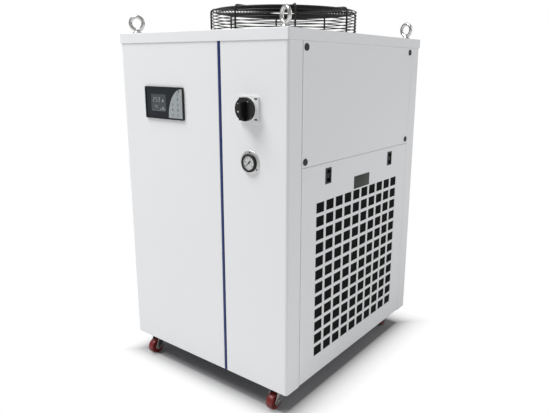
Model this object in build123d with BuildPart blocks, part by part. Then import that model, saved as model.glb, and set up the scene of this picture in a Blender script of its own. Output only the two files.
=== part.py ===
# Industrial water chiller: a sheet-metal cabinet on casters, with a caged fan on top.
# Millimetres, +Z up, front towards -Y, origin on the floor under the cabinet's centre.
import os
from math import cos, radians, sin

from build123d import *

os.makedirs("parts", exist_ok=True)

# Cabinet
width = 650
depth = 755
body_height = 967
sheet = 1.5
panel_fold = 15
fold_radius = 2
corner_radius = 8
return_length = 60
seam = 1.2
side_lift = 3
panel_tuck = 10

# Cover
skirt_height = 29
skirt_gap = 0.7
cover_corner = 5
cover_edge = 2
collar_depth = 40

# Blue strip between the two front panels
trim_x = 92.2
trim_width = 9
trim_crown = 0.6
trim_thickness = 6
trim_clearance = 0.4

# Frame
angle_leg = 30
angle_sheet = 2
post_leg = 52
tray_rim = 40
tray_sheet = 2
lug_size = 52
lug_thickness = 6
mullion_width = 40

# Side panels
side_split = 642
hole_length = 40
hole_height = 30
bar = 10
hole_columns = 10
hole_rows = 12
grille_low = 64
gauze_thickness = 3
gauze_margin = 12
cap_radius = 9.2
cap_thickness = 2
cap_inset = 14
cap_height_inset = 16

# Slide latches in the filter panels
latch_width = 29.5
latch_height = 45.5
latch_spread = 376
latch_z = 604.2
latch_lip = 2
latch_rim = 1.2
latch_depth = 12
latch_wall = 3
well_depth = 5
slot_width = 8
latch_travel = 8
slider_clearance = 0.3
grip_width = 16
grip_height = 14
grip_depth = 4
tongue_width = 14
tongue_thickness = 3
tongue_overlap = 5

# Lifting eyes
eye_side_inset = 36.7
eye_front_inset = 35.7
eye_height = 56
eye_outer_radius = 25
eye_wire_radius = 5.5
eye_foot_radius = 13
eye_neck_radius = 8
eye_foot_height = 10
eye_shank_radius = 6
eye_shank_length = 24
eye_clearance = 0.4
eye_turns = {(-1, -1): 36, (1, -1): -22, (1, 1): -14, (-1, 1): 20}

# Controller
controller_x = -132.3
controller_z = 794.5
controller_width = 167.5
controller_height = 94
controller_corner = 4
controller_bezel = 5
controller_rim = 4
controller_recess = 2.5
controller_body_width = 152
controller_body_height = 78
controller_body_depth = 34
panel_clearance = 0.5
face_thickness = 1
window_x = -25.2
window_width = 66
window_height = 50
window_thickness = 0.8
keypad_thickness = 1
keypad_width = 59
keypad_margin = 0.6
key_radius = 3
key_rise = 0.5
key_columns = ((38, 3), (60, 5))
key_row_pitch = 15
key_row_low = -31

# Power switch
switch_x = 199.5
switch_z = 795
switch_plate = 67
switch_plate_corner = 4
switch_plate_thickness = 7
switch_boss_radius = 29
switch_boss_height = 6.5
switch_body_size = 56
switch_body_depth = 48
screw_well_length = 10
screw_well_width = 4
screw_well_depth = 4
screw_well_inset = 7
knob_radius = 30.7
knob_thickness = 10
knob_gap = 0.5
grip_rise = 16
grip_low = -29
grip_high = 19
grip_bar_width = 11
grip_bar_top = 6
shaft_radius = 5
shaft_clearance = 0.05
shaft_length = 12

# Pressure gauge
gauge_x = 199
gauge_z = 652.5
gauge_flange_radius = 33
gauge_flange_thickness = 1.5
gauge_bezel_radius = 25
gauge_bezel_height = 9
gauge_bezel_wall = 3
gauge_floor = 2
gauge_can_radius = 23.5
gauge_can_depth = 24
dial_thickness = 1
lens_thickness = 1.5
lens_setback = 1
pointer_length = 16
pointer_tail = 8
pointer_width = 2.4
pointer_thickness = 0.8
pointer_lift = 1.2
pointer_hub_radius = 2.5
pointer_pin_radius = 1
pointer_rest = 225

# Fan and its wire cage
fan_y = 28
fan_radius = 226
fan_gap = 5
guard_radius = 241.5
guard_height = 85
rib_count = 8
rib_size = 4
rib_foot = 14
rib_foot_thickness = 2.5
wire = 2.2
ring_sides = 24
side_rings = 8
side_ring_low = 8
side_ring_pitch = 9.7
top_rings = 9
top_ring_pitch = 20
hub_plate_radius = 52
hub_plate_thickness = 3
impeller_hub_radius = 58
impeller_hub_height = 44
impeller_hub_wall = 4
blade_count = 6
blade_thickness = 2.5
blade_root_chord = 82
blade_tip_chord = 112
blade_root_pitch = 38
blade_tip_pitch = 24
blade_tip_sweep = 8
motor_radius = 62
motor_height = 96
motor_shaft_radius = 7
motor_bore_depth = 30
motor_shaft_clearance = 0.05
impeller_lift = 6
bracket_spacing = 84
bracket_width = 24
bracket_thickness = 4
bracket_drop = 12
bracket_tab = 26

# Refrigeration circuit
compressor_x = 125
compressor_y = 190
compressor_radius = 84
compressor_height = 372
compressor_plate = 190
compressor_plate_thickness = 5
compressor_shoulder = 14
foot_radius = 16
foot_height = 24
port_offset = 40
condenser_thickness = 36
condenser_length = 560
condenser_height = 545
condenser_gap = 22
condenser_end = 4
evaporator_x = 113
evaporator_y = -185
evaporator_width = 110
evaporator_depth = 70
evaporator_height = 320
evaporator_port_inset = 27
evaporator_port_low = 40
drier_x = 200
drier_y = -60
drier_radius = 25
drier_height = 110
drier_low = 160
pipe_radius = 6
pipe_bend = 22
pipe_sides = 8

# Water circuit
tank_x = -130
tank_y = 200
tank_width = 200
tank_depth = 270
tank_height = 400
tank_lid = 6
tank_lid_lip = 5
pump_y = -100
pump_axis_height = 82
pump_motor_radius = 60
pump_motor_length = 190
pump_head_radius = 72
pump_head_length = 56
pump_outlet_radius = 20
pump_foot_width = 96
hose_radius = 13
hose_bend = 30
hose_sides = 8
capillary_radius = 2.5
capillary_bend = 14
capillary_sides = 6
port_z = 345
port_thread_radius = 16.6
port_thread_length = 20
port_hex = 40
port_hex_length = 14
port_bore_radius = 10
port_tail = 15
outlet_x = 0
neck_x = -205
neck_y = 292
neck_radius = 22
neck_bore = 18
neck_height = 16
neck_flange_radius = 34
neck_flange_thickness = 2.5
neck_tail = 34
cap_clearance = 0.4
cap_wall = 6
cap_roof = 4
cap_sides = 16

# Drain valve
drain_x = -70
drain_z = 60
drain_hex = 26
drain_body_length = 20
drain_outlet_radius = 10.5
drain_outlet_length = 18
drain_bore = 6.5
drain_tail = 15
stem_radius = 4
stem_height = 8
handle_length = 58
handle_width = 12
handle_thickness = 3
handle_hub_radius = 8

# Cable gland
gland_inset = 85
gland_z = 880
gland_hex = 27
gland_hex_thickness = 8
gland_dome_radius = 12
gland_dome_length = 16
gland_bore = 7
gland_thread_radius = 10
gland_thread_length = 12

# Electrical plate
plate_y = -300
plate_fold = 45
plate_low = 740
plate_height = 290
contactor_width = 45
contactor_height = 78
contactor_depth = 36
contactor_count = 3
contactor_pitch = 48
contactor_rise = 60
terminal_length = 160
terminal_height = 26
terminal_rise = 250

# Casters
caster_height = 73
caster_side_inset = 62
caster_end_inset = 44.5
caster_plate_x = 66
caster_plate_y = 46
caster_plate_thickness = 2.5
race_radius = 19
race_height = 9
swivel_gap = 0.4
kingpin_radius = 4.5
kingpin_clearance = 0.05
kingpin_head_radius = 8
kingpin_head = 3
crown_thickness = 2.5
crown_length = 40
cheek_thickness = 2.2
cheek_gap = 1.5
cheek_end_radius = 10
wheel_radius = 25
wheel_width = 23
trail = 24
axle_radius = 4
axle_clearance = 0.05
axle_head = 13
axle_head_thickness = 4

# Levels and planes that follow from the sizes above
base_z = caster_height
tray_floor_z = base_z + tray_sheet
skirt_z = base_z + body_height
cover_top_z = skirt_z + skirt_height
cover_under_z = cover_top_z - sheet
panel_top_z = skirt_z + panel_tuck
half_width = width / 2
half_depth = depth / 2
frame_x = half_width - panel_fold
frame_y = half_depth - panel_fold
tray_rim_z = base_z + tray_rim
side_low_z = base_z + side_lift
split_z = base_z + side_split
side_half = half_depth - return_length - seam
overhang = skirt_gap + sheet
front = Plane.XZ.offset(half_depth)
right = Plane.YZ.offset(half_width)
rear = Plane(origin=(0, half_depth, 0), x_dir=(-1, 0, 0), z_dir=(0, 1, 0))
sides = {"right": 1, "left": -1}
ends = {"front": -1, "rear": 1}
corners = [(side, end) for side in (-1, 1) for end in (-1, 1)]


# Bottom tray
with BuildPart() as base_tray:
    with BuildSketch(Plane.XY.offset(base_z)):
        Rectangle(2 * frame_x, 2 * frame_y)
    extrude(amount=tray_rim)
    tray_mouth = base_tray.faces().sort_by(Axis.Z)[-1]
    offset(amount=-tray_sheet, openings=tray_mouth)
base_tray.part.label = "base_tray"
export_step(base_tray.part, "parts/base_tray.step")


# Four corner posts with threaded lifting lugs, and the post behind the blue strip
eye_x = half_width - eye_side_inset
eye_y = half_depth - eye_front_inset
mullion_x = trim_x
lug_under_z = cover_under_z - lug_thickness
with BuildPart() as frame_posts:
    for side, end in corners:
        with BuildSketch(Plane.XY.offset(tray_rim_z)):
            with BuildLine():
                Polyline(
                    (side * frame_x, end * frame_y),
                    (side * (frame_x - angle_leg), end * frame_y),
                    (side * (frame_x - angle_leg), end * (frame_y - angle_sheet)),
                    (side * (frame_x - angle_sheet), end * (frame_y - angle_sheet)),
                    (side * (frame_x - angle_sheet), end * (frame_y - post_leg)),
                    (side * frame_x, end * (frame_y - post_leg)),
                    close=True,
                )
            make_face()
        extrude(amount=cover_under_z - tray_rim_z)
        with BuildSketch(Plane.XY.offset(lug_under_z)):
            with Locations((side * (frame_x - lug_size / 2), end * (frame_y - lug_size / 2))):
                Rectangle(lug_size, lug_size)
            with Locations((side * eye_x, end * eye_y)):
                Circle(eye_shank_radius + shaft_clearance, mode=Mode.SUBTRACT)
        extrude(amount=lug_thickness)
    with BuildSketch(Plane.XY.offset(tray_floor_z)):
        with Locations((mullion_x, -frame_y + angle_sheet + angle_leg / 2)):
            Rectangle(mullion_width, angle_leg)
            Rectangle(mullion_width - 2 * angle_sheet, angle_leg - 2 * angle_sheet, mode=Mode.SUBTRACT)
    extrude(amount=cover_under_z - tray_floor_z)
frame_posts.part.label = "frame_posts"
export_step(frame_posts.part, "parts/frame_posts.step")


# Angle rails: four under the cover and one behind each side panel's split
lug_end_x = frame_x - lug_size
lug_end_y = frame_y - lug_size
mid_rail_low_z = split_z - 12
mid_rail_top_z = mid_rail_low_z + angle_leg
with BuildPart() as frame_rails:
    for side in sides.values():
        for top_z, end_y in ((cover_under_z, lug_end_y), (mid_rail_top_z, frame_y - post_leg)):
            with BuildSketch(Plane.XZ.offset(-end_y)):
                with BuildLine():
                    Polyline(
                        (side * frame_x, top_z),
                        (side * (frame_x - angle_leg), top_z),
                        (side * (frame_x - angle_leg), top_z - angle_sheet),
                        (side * (frame_x - angle_sheet), top_z - angle_sheet),
                        (side * (frame_x - angle_sheet), top_z - angle_leg),
                        (side * frame_x, top_z - angle_leg),
                        close=True,
                    )
                make_face()
            extrude(amount=2 * end_y)
    for end in ends.values():
        with BuildSketch(Plane.YZ.offset(-lug_end_x)):
            with BuildLine():
                Polyline(
                    (end * frame_y, cover_under_z),
                    (end * (frame_y - angle_leg), cover_under_z),
                    (end * (frame_y - angle_leg), cover_under_z - angle_sheet),
                    (end * (frame_y - angle_sheet), cover_under_z - angle_sheet),
                    (end * (frame_y - angle_sheet), cover_under_z - angle_leg),
                    (end * frame_y, cover_under_z - angle_leg),
                    close=True,
                )
            make_face()
        extrude(amount=2 * lug_end_x)
    with BuildSketch(Plane.XY.offset(cover_under_z - angle_leg)):
        with Locations((mullion_x, -frame_y + angle_sheet + angle_leg / 2)):
            Rectangle(mullion_width, angle_leg)
    extrude(amount=angle_leg, mode=Mode.SUBTRACT)
frame_rails.part.label = "frame_rails"
export_step(frame_rails.part, "parts/frame_rails.step")


# Front panels, each folded round its corner, with a lip along the blue strip
controller_centre_z = base_z + controller_z
switch_centre_z = base_z + switch_z
gauge_centre_z = base_z + gauge_z
lip_gap = trim_width / 2 + trim_clearance
panel_height = panel_top_z - base_z
inner_front_y = sheet / 2 - half_depth
inner_side_x = half_width - sheet / 2
inner_corner_x = half_width - corner_radius
inner_corner_y = half_depth - corner_radius
with BuildPart() as front_left_panel:
    with BuildSketch(Plane.XY.offset(base_z)):
        with BuildLine():
            FilletPolyline(
                (trim_x - lip_gap, -frame_y),
                (trim_x - lip_gap, -half_depth),
                (-half_width, -half_depth),
                (-half_width, return_length - half_depth),
                (-frame_x, return_length - half_depth),
                radius=(fold_radius, corner_radius, fold_radius),
            )
            offset(amount=sheet, side=Side.RIGHT)
        make_face()
    extrude(amount=panel_height)
    with BuildSketch(Plane.XY.offset(base_z)):
        with BuildLine():
            Polyline(
                (trim_x - lip_gap, -frame_y),
                (trim_x - lip_gap, inner_front_y),
                (-inner_corner_x, inner_front_y),
                (-inner_side_x, -inner_corner_y),
                (-inner_side_x, return_length - half_depth),
                (-frame_x, return_length - half_depth),
                (-frame_x, -frame_y),
                close=True,
            )
        make_face()
    extrude(amount=sheet)
    with BuildSketch(front):
        with Locations((controller_x, controller_centre_z)):
            Rectangle(controller_body_width + 2 * panel_clearance, controller_body_height + 2 * panel_clearance)
    extrude(amount=-panel_fold / 2, mode=Mode.SUBTRACT)
front_left_panel.part.label = "front_left_panel"
export_step(front_left_panel.part, "parts/front_left_panel.step")

with BuildPart() as front_right_panel:
    with BuildSketch(Plane.XY.offset(base_z)):
        with BuildLine():
            FilletPolyline(
                (trim_x + lip_gap, -frame_y),
                (trim_x + lip_gap, -half_depth),
                (half_width, -half_depth),
                (half_width, return_length - half_depth),
                (frame_x, return_length - half_depth),
                radius=(fold_radius, corner_radius, fold_radius),
            )
            offset(amount=sheet, side=Side.LEFT)
        make_face()
    extrude(amount=panel_height)
    with BuildSketch(Plane.XY.offset(base_z)):
        with BuildLine():
            Polyline(
                (trim_x + lip_gap, -frame_y),
                (trim_x + lip_gap, inner_front_y),
                (inner_corner_x, inner_front_y),
                (inner_side_x, -inner_corner_y),
                (inner_side_x, return_length - half_depth),
                (frame_x, return_length - half_depth),
                (frame_x, -frame_y),
                close=True,
            )
        make_face()
    extrude(amount=sheet)
    with BuildSketch(front):
        with Locations((switch_x, switch_centre_z)):
            Rectangle(switch_body_size + 2 * panel_clearance, switch_body_size + 2 * panel_clearance)
        with Locations((gauge_x, gauge_centre_z)):
            Circle(gauge_can_radius + panel_clearance)
    extrude(amount=-panel_fold / 2, mode=Mode.SUBTRACT)
front_right_panel.part.label = "front_right_panel"
export_step(front_right_panel.part, "parts/front_right_panel.step")


# Blue strip, crowned, held between the two lips
with BuildPart() as trim_strip:
    with BuildSketch(Plane.XY.offset(base_z)):
        with BuildLine():
            crown = ThreePointArc(
                (trim_x - trim_width / 2, -half_depth),
                (trim_x, -half_depth - trim_crown),
                (trim_x + trim_width / 2, -half_depth),
            )
            Polyline(
                crown @ 1,
                (trim_x + trim_width / 2, -frame_y),
                (trim_x - trim_width / 2, -frame_y),
                crown @ 0,
            )
        make_face()
    extrude(amount=panel_height)
trim_strip.part.label = "trim_strip"
export_step(trim_strip.part, "parts/trim_strip.step")


# Rear panel, folded round both rear corners
drain_centre_z = base_z + drain_z
gland_x = half_width - gland_inset
gland_centre_z = base_z + gland_z
inlet_x = tank_x
port_centre_z = base_z + port_z
with BuildPart() as rear_panel:
    with BuildSketch(Plane.XY.offset(base_z)):
        with BuildLine():
            FilletPolyline(
                (-frame_x, half_depth - return_length),
                (-half_width, half_depth - return_length),
                (-half_width, half_depth),
                (half_width, half_depth),
                (half_width, half_depth - return_length),
                (frame_x, half_depth - return_length),
                radius=(fold_radius, corner_radius, corner_radius, fold_radius),
            )
            offset(amount=sheet, side=Side.RIGHT)
        make_face()
    extrude(amount=panel_height)
    with BuildSketch(Plane.XY.offset(base_z)):
        with BuildLine():
            Polyline(
                (-frame_x, half_depth - return_length),
                (-inner_side_x, half_depth - return_length),
                (-inner_side_x, inner_corner_y),
                (-inner_corner_x, -inner_front_y),
                (inner_corner_x, -inner_front_y),
                (inner_side_x, inner_corner_y),
                (inner_side_x, half_depth - return_length),
                (frame_x, half_depth - return_length),
                (frame_x, frame_y),
                (-frame_x, frame_y),
                close=True,
            )
        make_face()
    extrude(amount=sheet)
    with BuildSketch(rear):
        with Locations((-inlet_x, port_centre_z), (-outlet_x, port_centre_z)):
            Circle(port_thread_radius + panel_clearance)
        with Locations((-drain_x, drain_centre_z)):
            Circle(drain_outlet_radius + panel_clearance)
        with Locations((-gland_x, gland_centre_z)):
            Circle(gland_thread_radius + panel_clearance)
    extrude(amount=-panel_fold / 2, mode=Mode.SUBTRACT)
rear_panel.part.label = "rear_panel"
export_step(rear_panel.part, "parts/rear_panel.step")


# Upper side panels: plain pans with folded edges
upper_low_z = split_z + seam / 2
upper_height = panel_top_z - upper_low_z
with BuildPart() as right_upper_panel:
    with BuildSketch(right):
        with Locations((0, upper_low_z + upper_height / 2)):
            Rectangle(2 * side_half, upper_height)
    extrude(amount=-panel_fold)
    pan_back = right_upper_panel.faces().sort_by(Axis.X)[0]
    offset(amount=-sheet, openings=pan_back)
right_upper_panel.part.label = "right_upper_panel"
export_step(right_upper_panel.part, "parts/right_upper_panel.step")

with BuildPart() as left_upper_panel:
    mirror(right_upper_panel.part, about=Plane.YZ)
left_upper_panel.part.label = "left_upper_panel"
export_step(left_upper_panel.part, "parts/left_upper_panel.step")


# Lower panels: the right one is punched with the air grille and the two latch holes
grille_length = hole_columns * hole_length + (hole_columns - 1) * bar
grille_height = hole_rows * hole_height + (hole_rows - 1) * bar
grille_z = base_z + grille_low + grille_height / 2
filter_top_z = split_z - seam / 2
filter_height = filter_top_z - side_low_z
latch_centre_z = base_z + latch_z
latch_places = [(-latch_spread / 2, latch_centre_z), (latch_spread / 2, latch_centre_z)]
latch_body_width = latch_width - 2 * latch_lip
latch_body_height = latch_height - 2 * latch_lip
with BuildPart() as right_filter_panel:
    with BuildSketch(right):
        with Locations((0, side_low_z + filter_height / 2)):
            Rectangle(2 * side_half, filter_height)
    extrude(amount=-panel_fold)
    pan_back = right_filter_panel.faces().sort_by(Axis.X)[0]
    offset(amount=-sheet, openings=pan_back)
    with BuildSketch(right):
        with Locations((0, grille_z)):
            with GridLocations(hole_length + bar, hole_height + bar, hole_columns, hole_rows):
                Rectangle(hole_length, hole_height)
        with Locations(*latch_places):
            Rectangle(latch_body_width + 2 * slider_clearance, latch_body_height + 2 * slider_clearance)
    extrude(amount=-panel_fold / 2, mode=Mode.SUBTRACT)
right_filter_panel.part.label = "right_filter_panel"
export_step(right_filter_panel.part, "parts/right_filter_panel.step")

left = Plane(origin=(-half_width, 0, 0), x_dir=(0, -1, 0), z_dir=(-1, 0, 0))
with BuildPart() as left_lower_panel:
    with BuildSketch(left):
        with Locations((0, side_low_z + filter_height / 2)):
            Rectangle(2 * side_half, filter_height)
    extrude(amount=-panel_fold)
    pan_back = left_lower_panel.faces().sort_by(Axis.X)[-1]
    offset(amount=-sheet, openings=pan_back)
left_lower_panel.part.label = "left_lower_panel"
export_step(left_lower_panel.part, "parts/left_lower_panel.step")


# Dust gauze behind the grille
with BuildPart() as filter_gauze:
    with BuildSketch(right.offset(-sheet)):
        with Locations((0, grille_z)):
            Rectangle(grille_length + 2 * gauze_margin, grille_height + 2 * gauze_margin)
    extrude(amount=-gauze_thickness)
filter_gauze.part.label = "filter_gauze"
export_step(filter_gauze.part, "parts/filter_gauze.step")


# Latch frames: a lipped black body with a finger well and a slot through its floor
slot_height = grip_height - 2 * slider_clearance + latch_travel
with BuildPart() as latch_frames:
    with BuildSketch(right):
        with Locations(*latch_places):
            Rectangle(latch_width, latch_height)
    extrude(amount=latch_rim)
    with BuildSketch(right):
        with Locations(*latch_places):
            Rectangle(latch_body_width, latch_body_height)
    extrude(amount=-latch_depth)
    with BuildSketch(right.offset(latch_rim)):
        with Locations(*latch_places):
            Rectangle(latch_body_width - 2 * latch_wall, latch_body_height - 2 * latch_wall)
    extrude(amount=-well_depth - latch_rim, mode=Mode.SUBTRACT)
    with BuildSketch(right):
        with Locations(*[(y, z - latch_travel / 2) for y, z in latch_places]):
            Rectangle(slot_width, slot_height)
    extrude(amount=-latch_depth, mode=Mode.SUBTRACT)
latch_frames.part.label = "latch_frames"
export_step(latch_frames.part, "parts/latch_frames.step")


# Latch sliders: a finger grip, a stem through the slot and a tongue behind the rail
stem_height_z = grip_height - 2 * slider_clearance - slider_clearance
grip_floor = half_width - well_depth + slider_clearance
tongue_front = frame_x - angle_sheet - slider_clearance
tongue_top_z = mid_rail_low_z + tongue_overlap
for end_name, end in ends.items():
    slide_y = end * latch_spread / 2
    with BuildPart() as latch:
        with BuildSketch(Plane.YZ.offset(grip_floor)):
            with Locations((slide_y, latch_centre_z)):
                Rectangle(grip_width, grip_height)
        extrude(amount=grip_depth)
        with BuildSketch(Plane.YZ.offset(grip_floor)):
            with Locations((slide_y, latch_centre_z)):
                Rectangle(slot_width - 2 * slider_clearance, stem_height_z)
        extrude(amount=tongue_front - grip_floor)
        with BuildSketch(Plane.YZ.offset(tongue_front)):
            with BuildLine():
                Polyline(
                    (slide_y - tongue_width / 2, latch_centre_z - grip_height / 2),
                    (slide_y + tongue_width / 2, latch_centre_z - grip_height / 2),
                    (slide_y + tongue_width / 2, tongue_top_z),
                    (slide_y - tongue_width / 2, tongue_top_z),
                    close=True,
                )
            make_face()
        extrude(amount=-tongue_thickness)
    latch.part.label = f"latch_{end_name}"
    export_step(latch.part, f"parts/latch_{end_name}.step")


# Black caps over the upper panels' screws
cap_y = side_half - cap_inset
cap_low_z = split_z + cap_height_inset
cap_high_z = skirt_z - cap_height_inset
with BuildPart() as screw_caps:
    with BuildSketch(right):
        with Locations(*[(y, z) for y in (-cap_y, cap_y) for z in (cap_low_z, cap_high_z)]):
            Circle(cap_radius)
    extrude(amount=cap_thickness)
    mirror(about=Plane.YZ)
screw_caps.part.label = "screw_caps"
export_step(screw_caps.part, "parts/screw_caps.step")


# Top cover: a downturned pan with a drawn collar round the fan
fan_bore = fan_radius + fan_gap
cover_top = Plane.XY.offset(cover_top_z)
with BuildPart() as top_cover:
    with BuildSketch(Plane.XY.offset(skirt_z)):
        RectangleRounded(width + 2 * overhang, depth + 2 * overhang, cover_corner)
    extrude(amount=skirt_height)
    fillet(top_cover.faces().sort_by(Axis.Z)[-1].edges(), cover_edge)
    cover_mouth = top_cover.faces().sort_by(Axis.Z)[0]
    offset(amount=-sheet, openings=cover_mouth)
    with BuildSketch(cover_top):
        with Locations((0, fan_y)):
            Circle(fan_bore + sheet)
    extrude(amount=-collar_depth)
    with BuildSketch(cover_top):
        with Locations((0, fan_y)):
            Circle(fan_bore)
        with Locations(*[(side * eye_x, end * eye_y) for side, end in corners]):
            Circle(eye_shank_radius + eye_clearance)
        with Locations((neck_x, neck_y)):
            Circle(neck_radius + cap_clearance)
    extrude(amount=-collar_depth, mode=Mode.SUBTRACT)
top_cover.part.label = "top_cover"
export_step(top_cover.part, "parts/top_cover.step")


# Lifting eyes screwed through the cover into the posts' lugs
ring_radius = eye_outer_radius - eye_wire_radius
ring_z = cover_top_z + eye_height - eye_outer_radius
with BuildPart() as eye_bolts:
    for (side, end), turn in eye_turns.items():
        across = (cos(radians(turn)), sin(radians(turn)), 0)
        ring_axis = Axis((side * eye_x, end * eye_y, ring_z), (sin(radians(turn)), -cos(radians(turn)), 0))
        with BuildSketch(Plane(origin=(side * eye_x, end * eye_y, ring_z), x_dir=across)):
            with Locations((ring_radius, 0)):
                RegularPolygon(eye_wire_radius, 8, major_radius=False, rotation=22.5)
        revolve(axis=ring_axis)
        with BuildSketch(Plane.XZ.offset(-end * eye_y)):
            with BuildLine():
                Polyline(
                    (side * eye_x, cover_top_z - eye_shank_length),
                    (side * eye_x + eye_shank_radius, cover_top_z - eye_shank_length),
                    (side * eye_x + eye_shank_radius, cover_top_z),
                    (side * eye_x + eye_foot_radius, cover_top_z),
                    (side * eye_x + eye_neck_radius, cover_top_z + eye_foot_height),
                    (side * eye_x, cover_top_z + eye_foot_height),
                    close=True,
                )
            make_face()
        revolve(axis=Axis((side * eye_x, end * eye_y, 0), (0, 0, 1)))
eye_bolts.part.label = "eye_bolts"
export_step(eye_bolts.part, "parts/eye_bolts.step")


# Controller: a black bezel with a slate face, a display window and a grey keypad
with BuildPart() as controller_case:
    with BuildSketch(front):
        with Locations((controller_x, controller_centre_z)):
            RectangleRounded(controller_width, controller_height, controller_corner)
    extrude(amount=controller_bezel)
    with BuildSketch(front):
        with Locations((controller_x, controller_centre_z)):
            Rectangle(controller_body_width, controller_body_height)
    extrude(amount=-controller_body_depth)
    with BuildSketch(front.offset(controller_bezel)):
        with Locations((controller_x, controller_centre_z)):
            Rectangle(controller_width - 2 * controller_rim, controller_height - 2 * controller_rim)
    extrude(amount=-controller_recess, mode=Mode.SUBTRACT)
controller_case.part.label = "controller_case"
export_step(controller_case.part, "parts/controller_case.step")

face_plane = front.offset(controller_bezel - controller_recess)
face_width = controller_width - 2 * controller_rim - 2 * slider_clearance
face_height = controller_height - 2 * controller_rim - 2 * slider_clearance
keypad_right = face_width / 2 - keypad_margin
keypad_left = keypad_right - keypad_width
keypad_low = keypad_margin - face_height / 2
keypad_top = face_height / 2 - keypad_margin
with BuildPart() as controller_face:
    with BuildSketch(face_plane):
        with Locations((controller_x, controller_centre_z)):
            Rectangle(face_width, face_height)
        with Locations((controller_x + window_x, controller_centre_z)):
            Rectangle(window_width, window_height, mode=Mode.SUBTRACT)
    extrude(amount=face_thickness)
controller_face.part.label = "controller_face"
export_step(controller_face.part, "parts/controller_face.step")

with BuildPart() as display_window:
    with BuildSketch(face_plane):
        with Locations((controller_x + window_x, controller_centre_z)):
            Rectangle(window_width, window_height)
    extrude(amount=window_thickness)
display_window.part.label = "display_window"
export_step(display_window.part, "parts/display_window.step")

keypad_plane = Plane(
    origin=(controller_x, -half_depth - controller_bezel + controller_recess - face_thickness, controller_centre_z),
    x_dir=(1, 0, 0),
    z_dir=(0, -1, 0),
)
with BuildPart() as keypad:
    with BuildSketch(keypad_plane):
        with BuildLine():
            sweep_edge = EllipticalCenterArc(
                (keypad_right, keypad_low),
                keypad_right - keypad_left,
                keypad_top - keypad_low,
                start_angle=90,
                arc_size=90,
            )
            Polyline(sweep_edge @ 1, (keypad_right, keypad_low), sweep_edge @ 0)
        make_face()
    extrude(amount=keypad_thickness)
    with BuildSketch(keypad_plane.offset(keypad_thickness)):
        for key_x, key_rows in key_columns:
            for row in range(key_rows):
                with Locations((key_x, key_row_low + row * key_row_pitch)):
                    Rectangle(2 * key_radius, 1.4 * key_radius)
    extrude(amount=key_rise)
keypad.part.label = "keypad"
export_step(keypad.part, "parts/keypad.step")


# Power switch: a square plate with a round boss, and the knob that turns on it
switch_at = (switch_x, switch_centre_z)
knob_back = switch_plate_thickness + switch_boss_height + knob_gap
well_places = [
    (switch_x + column * (switch_plate / 2 - screw_well_inset), switch_centre_z + row * (switch_plate / 2 - screw_well_inset))
    for column in (-1, 1)
    for row in (-1, 1)
]
with BuildPart() as switch_body:
    with BuildSketch(front):
        with Locations(switch_at):
            RectangleRounded(switch_plate, switch_plate, switch_plate_corner)
    extrude(amount=switch_plate_thickness)
    with BuildSketch(front.offset(switch_plate_thickness)):
        with Locations(switch_at):
            Circle(switch_boss_radius)
    extrude(amount=switch_boss_height)
    with BuildSketch(front):
        with Locations(switch_at):
            Rectangle(switch_body_size, switch_body_size)
    extrude(amount=-switch_body_depth)
    with BuildSketch(front.offset(switch_plate_thickness)):
        with Locations(*well_places):
            Rectangle(screw_well_length, screw_well_width)
    extrude(amount=-screw_well_depth, mode=Mode.SUBTRACT)
    with BuildSketch(front.offset(switch_plate_thickness + switch_boss_height)):
        with Locations(switch_at):
            Circle(shaft_radius + shaft_clearance)
    extrude(amount=-shaft_length - 1, mode=Mode.SUBTRACT)
switch_body.part.label = "switch_body"
export_step(switch_body.part, "parts/switch_body.step")

knob_face = front.offset(knob_back + knob_thickness)
grip_middle = (grip_low + grip_high) / 2
with BuildPart() as switch_knob:
    with BuildSketch(front.offset(knob_back)):
        with Locations(switch_at):
            Circle(knob_radius)
    extrude(amount=knob_thickness)
    with BuildSketch(knob_face):
        with Locations(switch_at):
            with Locations((0, grip_middle)):
                Rectangle(grip_bar_width, grip_high - grip_low)
    with BuildSketch(knob_face.offset(grip_rise)):
        with Locations(switch_at):
            with Locations((0, grip_middle)):
                Rectangle(grip_bar_top, grip_high - grip_low - 4)
    loft()
    with BuildSketch(front.offset(knob_back)):
        with Locations(switch_at):
            Circle(shaft_radius)
    extrude(amount=-shaft_length)
switch_knob.part.label = "switch_knob"
export_step(switch_knob.part, "parts/switch_knob.step")


# Pressure gauge: a flanged can with a black bezel, a dial, a pointer and a lens
gauge_at = (gauge_x, gauge_centre_z)
dial_radius = gauge_bezel_radius - gauge_bezel_wall
dial_back = gauge_flange_thickness + gauge_floor
with BuildPart() as gauge_case:
    with BuildSketch(front):
        with Locations(gauge_at):
            Circle(gauge_flange_radius)
    extrude(amount=gauge_flange_thickness)
    with BuildSketch(front):
        with Locations(gauge_at):
            Circle(gauge_bezel_radius)
    extrude(amount=gauge_bezel_height)
    with BuildSketch(front):
        with Locations(gauge_at):
            Circle(gauge_can_radius)
    extrude(amount=-gauge_can_depth)
    with BuildSketch(front.offset(gauge_bezel_height)):
        with Locations(gauge_at):
            Circle(dial_radius)
    extrude(amount=dial_back - gauge_bezel_height, mode=Mode.SUBTRACT)
gauge_case.part.label = "gauge_case"
export_step(gauge_case.part, "parts/gauge_case.step")

dial_front = dial_back + dial_thickness
pin_reach = pointer_lift + pointer_thickness / 2
with BuildPart() as gauge_dial:
    with BuildSketch(front.offset(dial_back)):
        with Locations(gauge_at):
            Circle(dial_radius)
    extrude(amount=dial_thickness)
    with BuildSketch(front.offset(dial_front)):
        with Locations(gauge_at):
            Circle(pointer_pin_radius)
    extrude(amount=pin_reach)
gauge_dial.part.label = "gauge_dial"
export_step(gauge_dial.part, "parts/gauge_dial.step")

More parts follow.
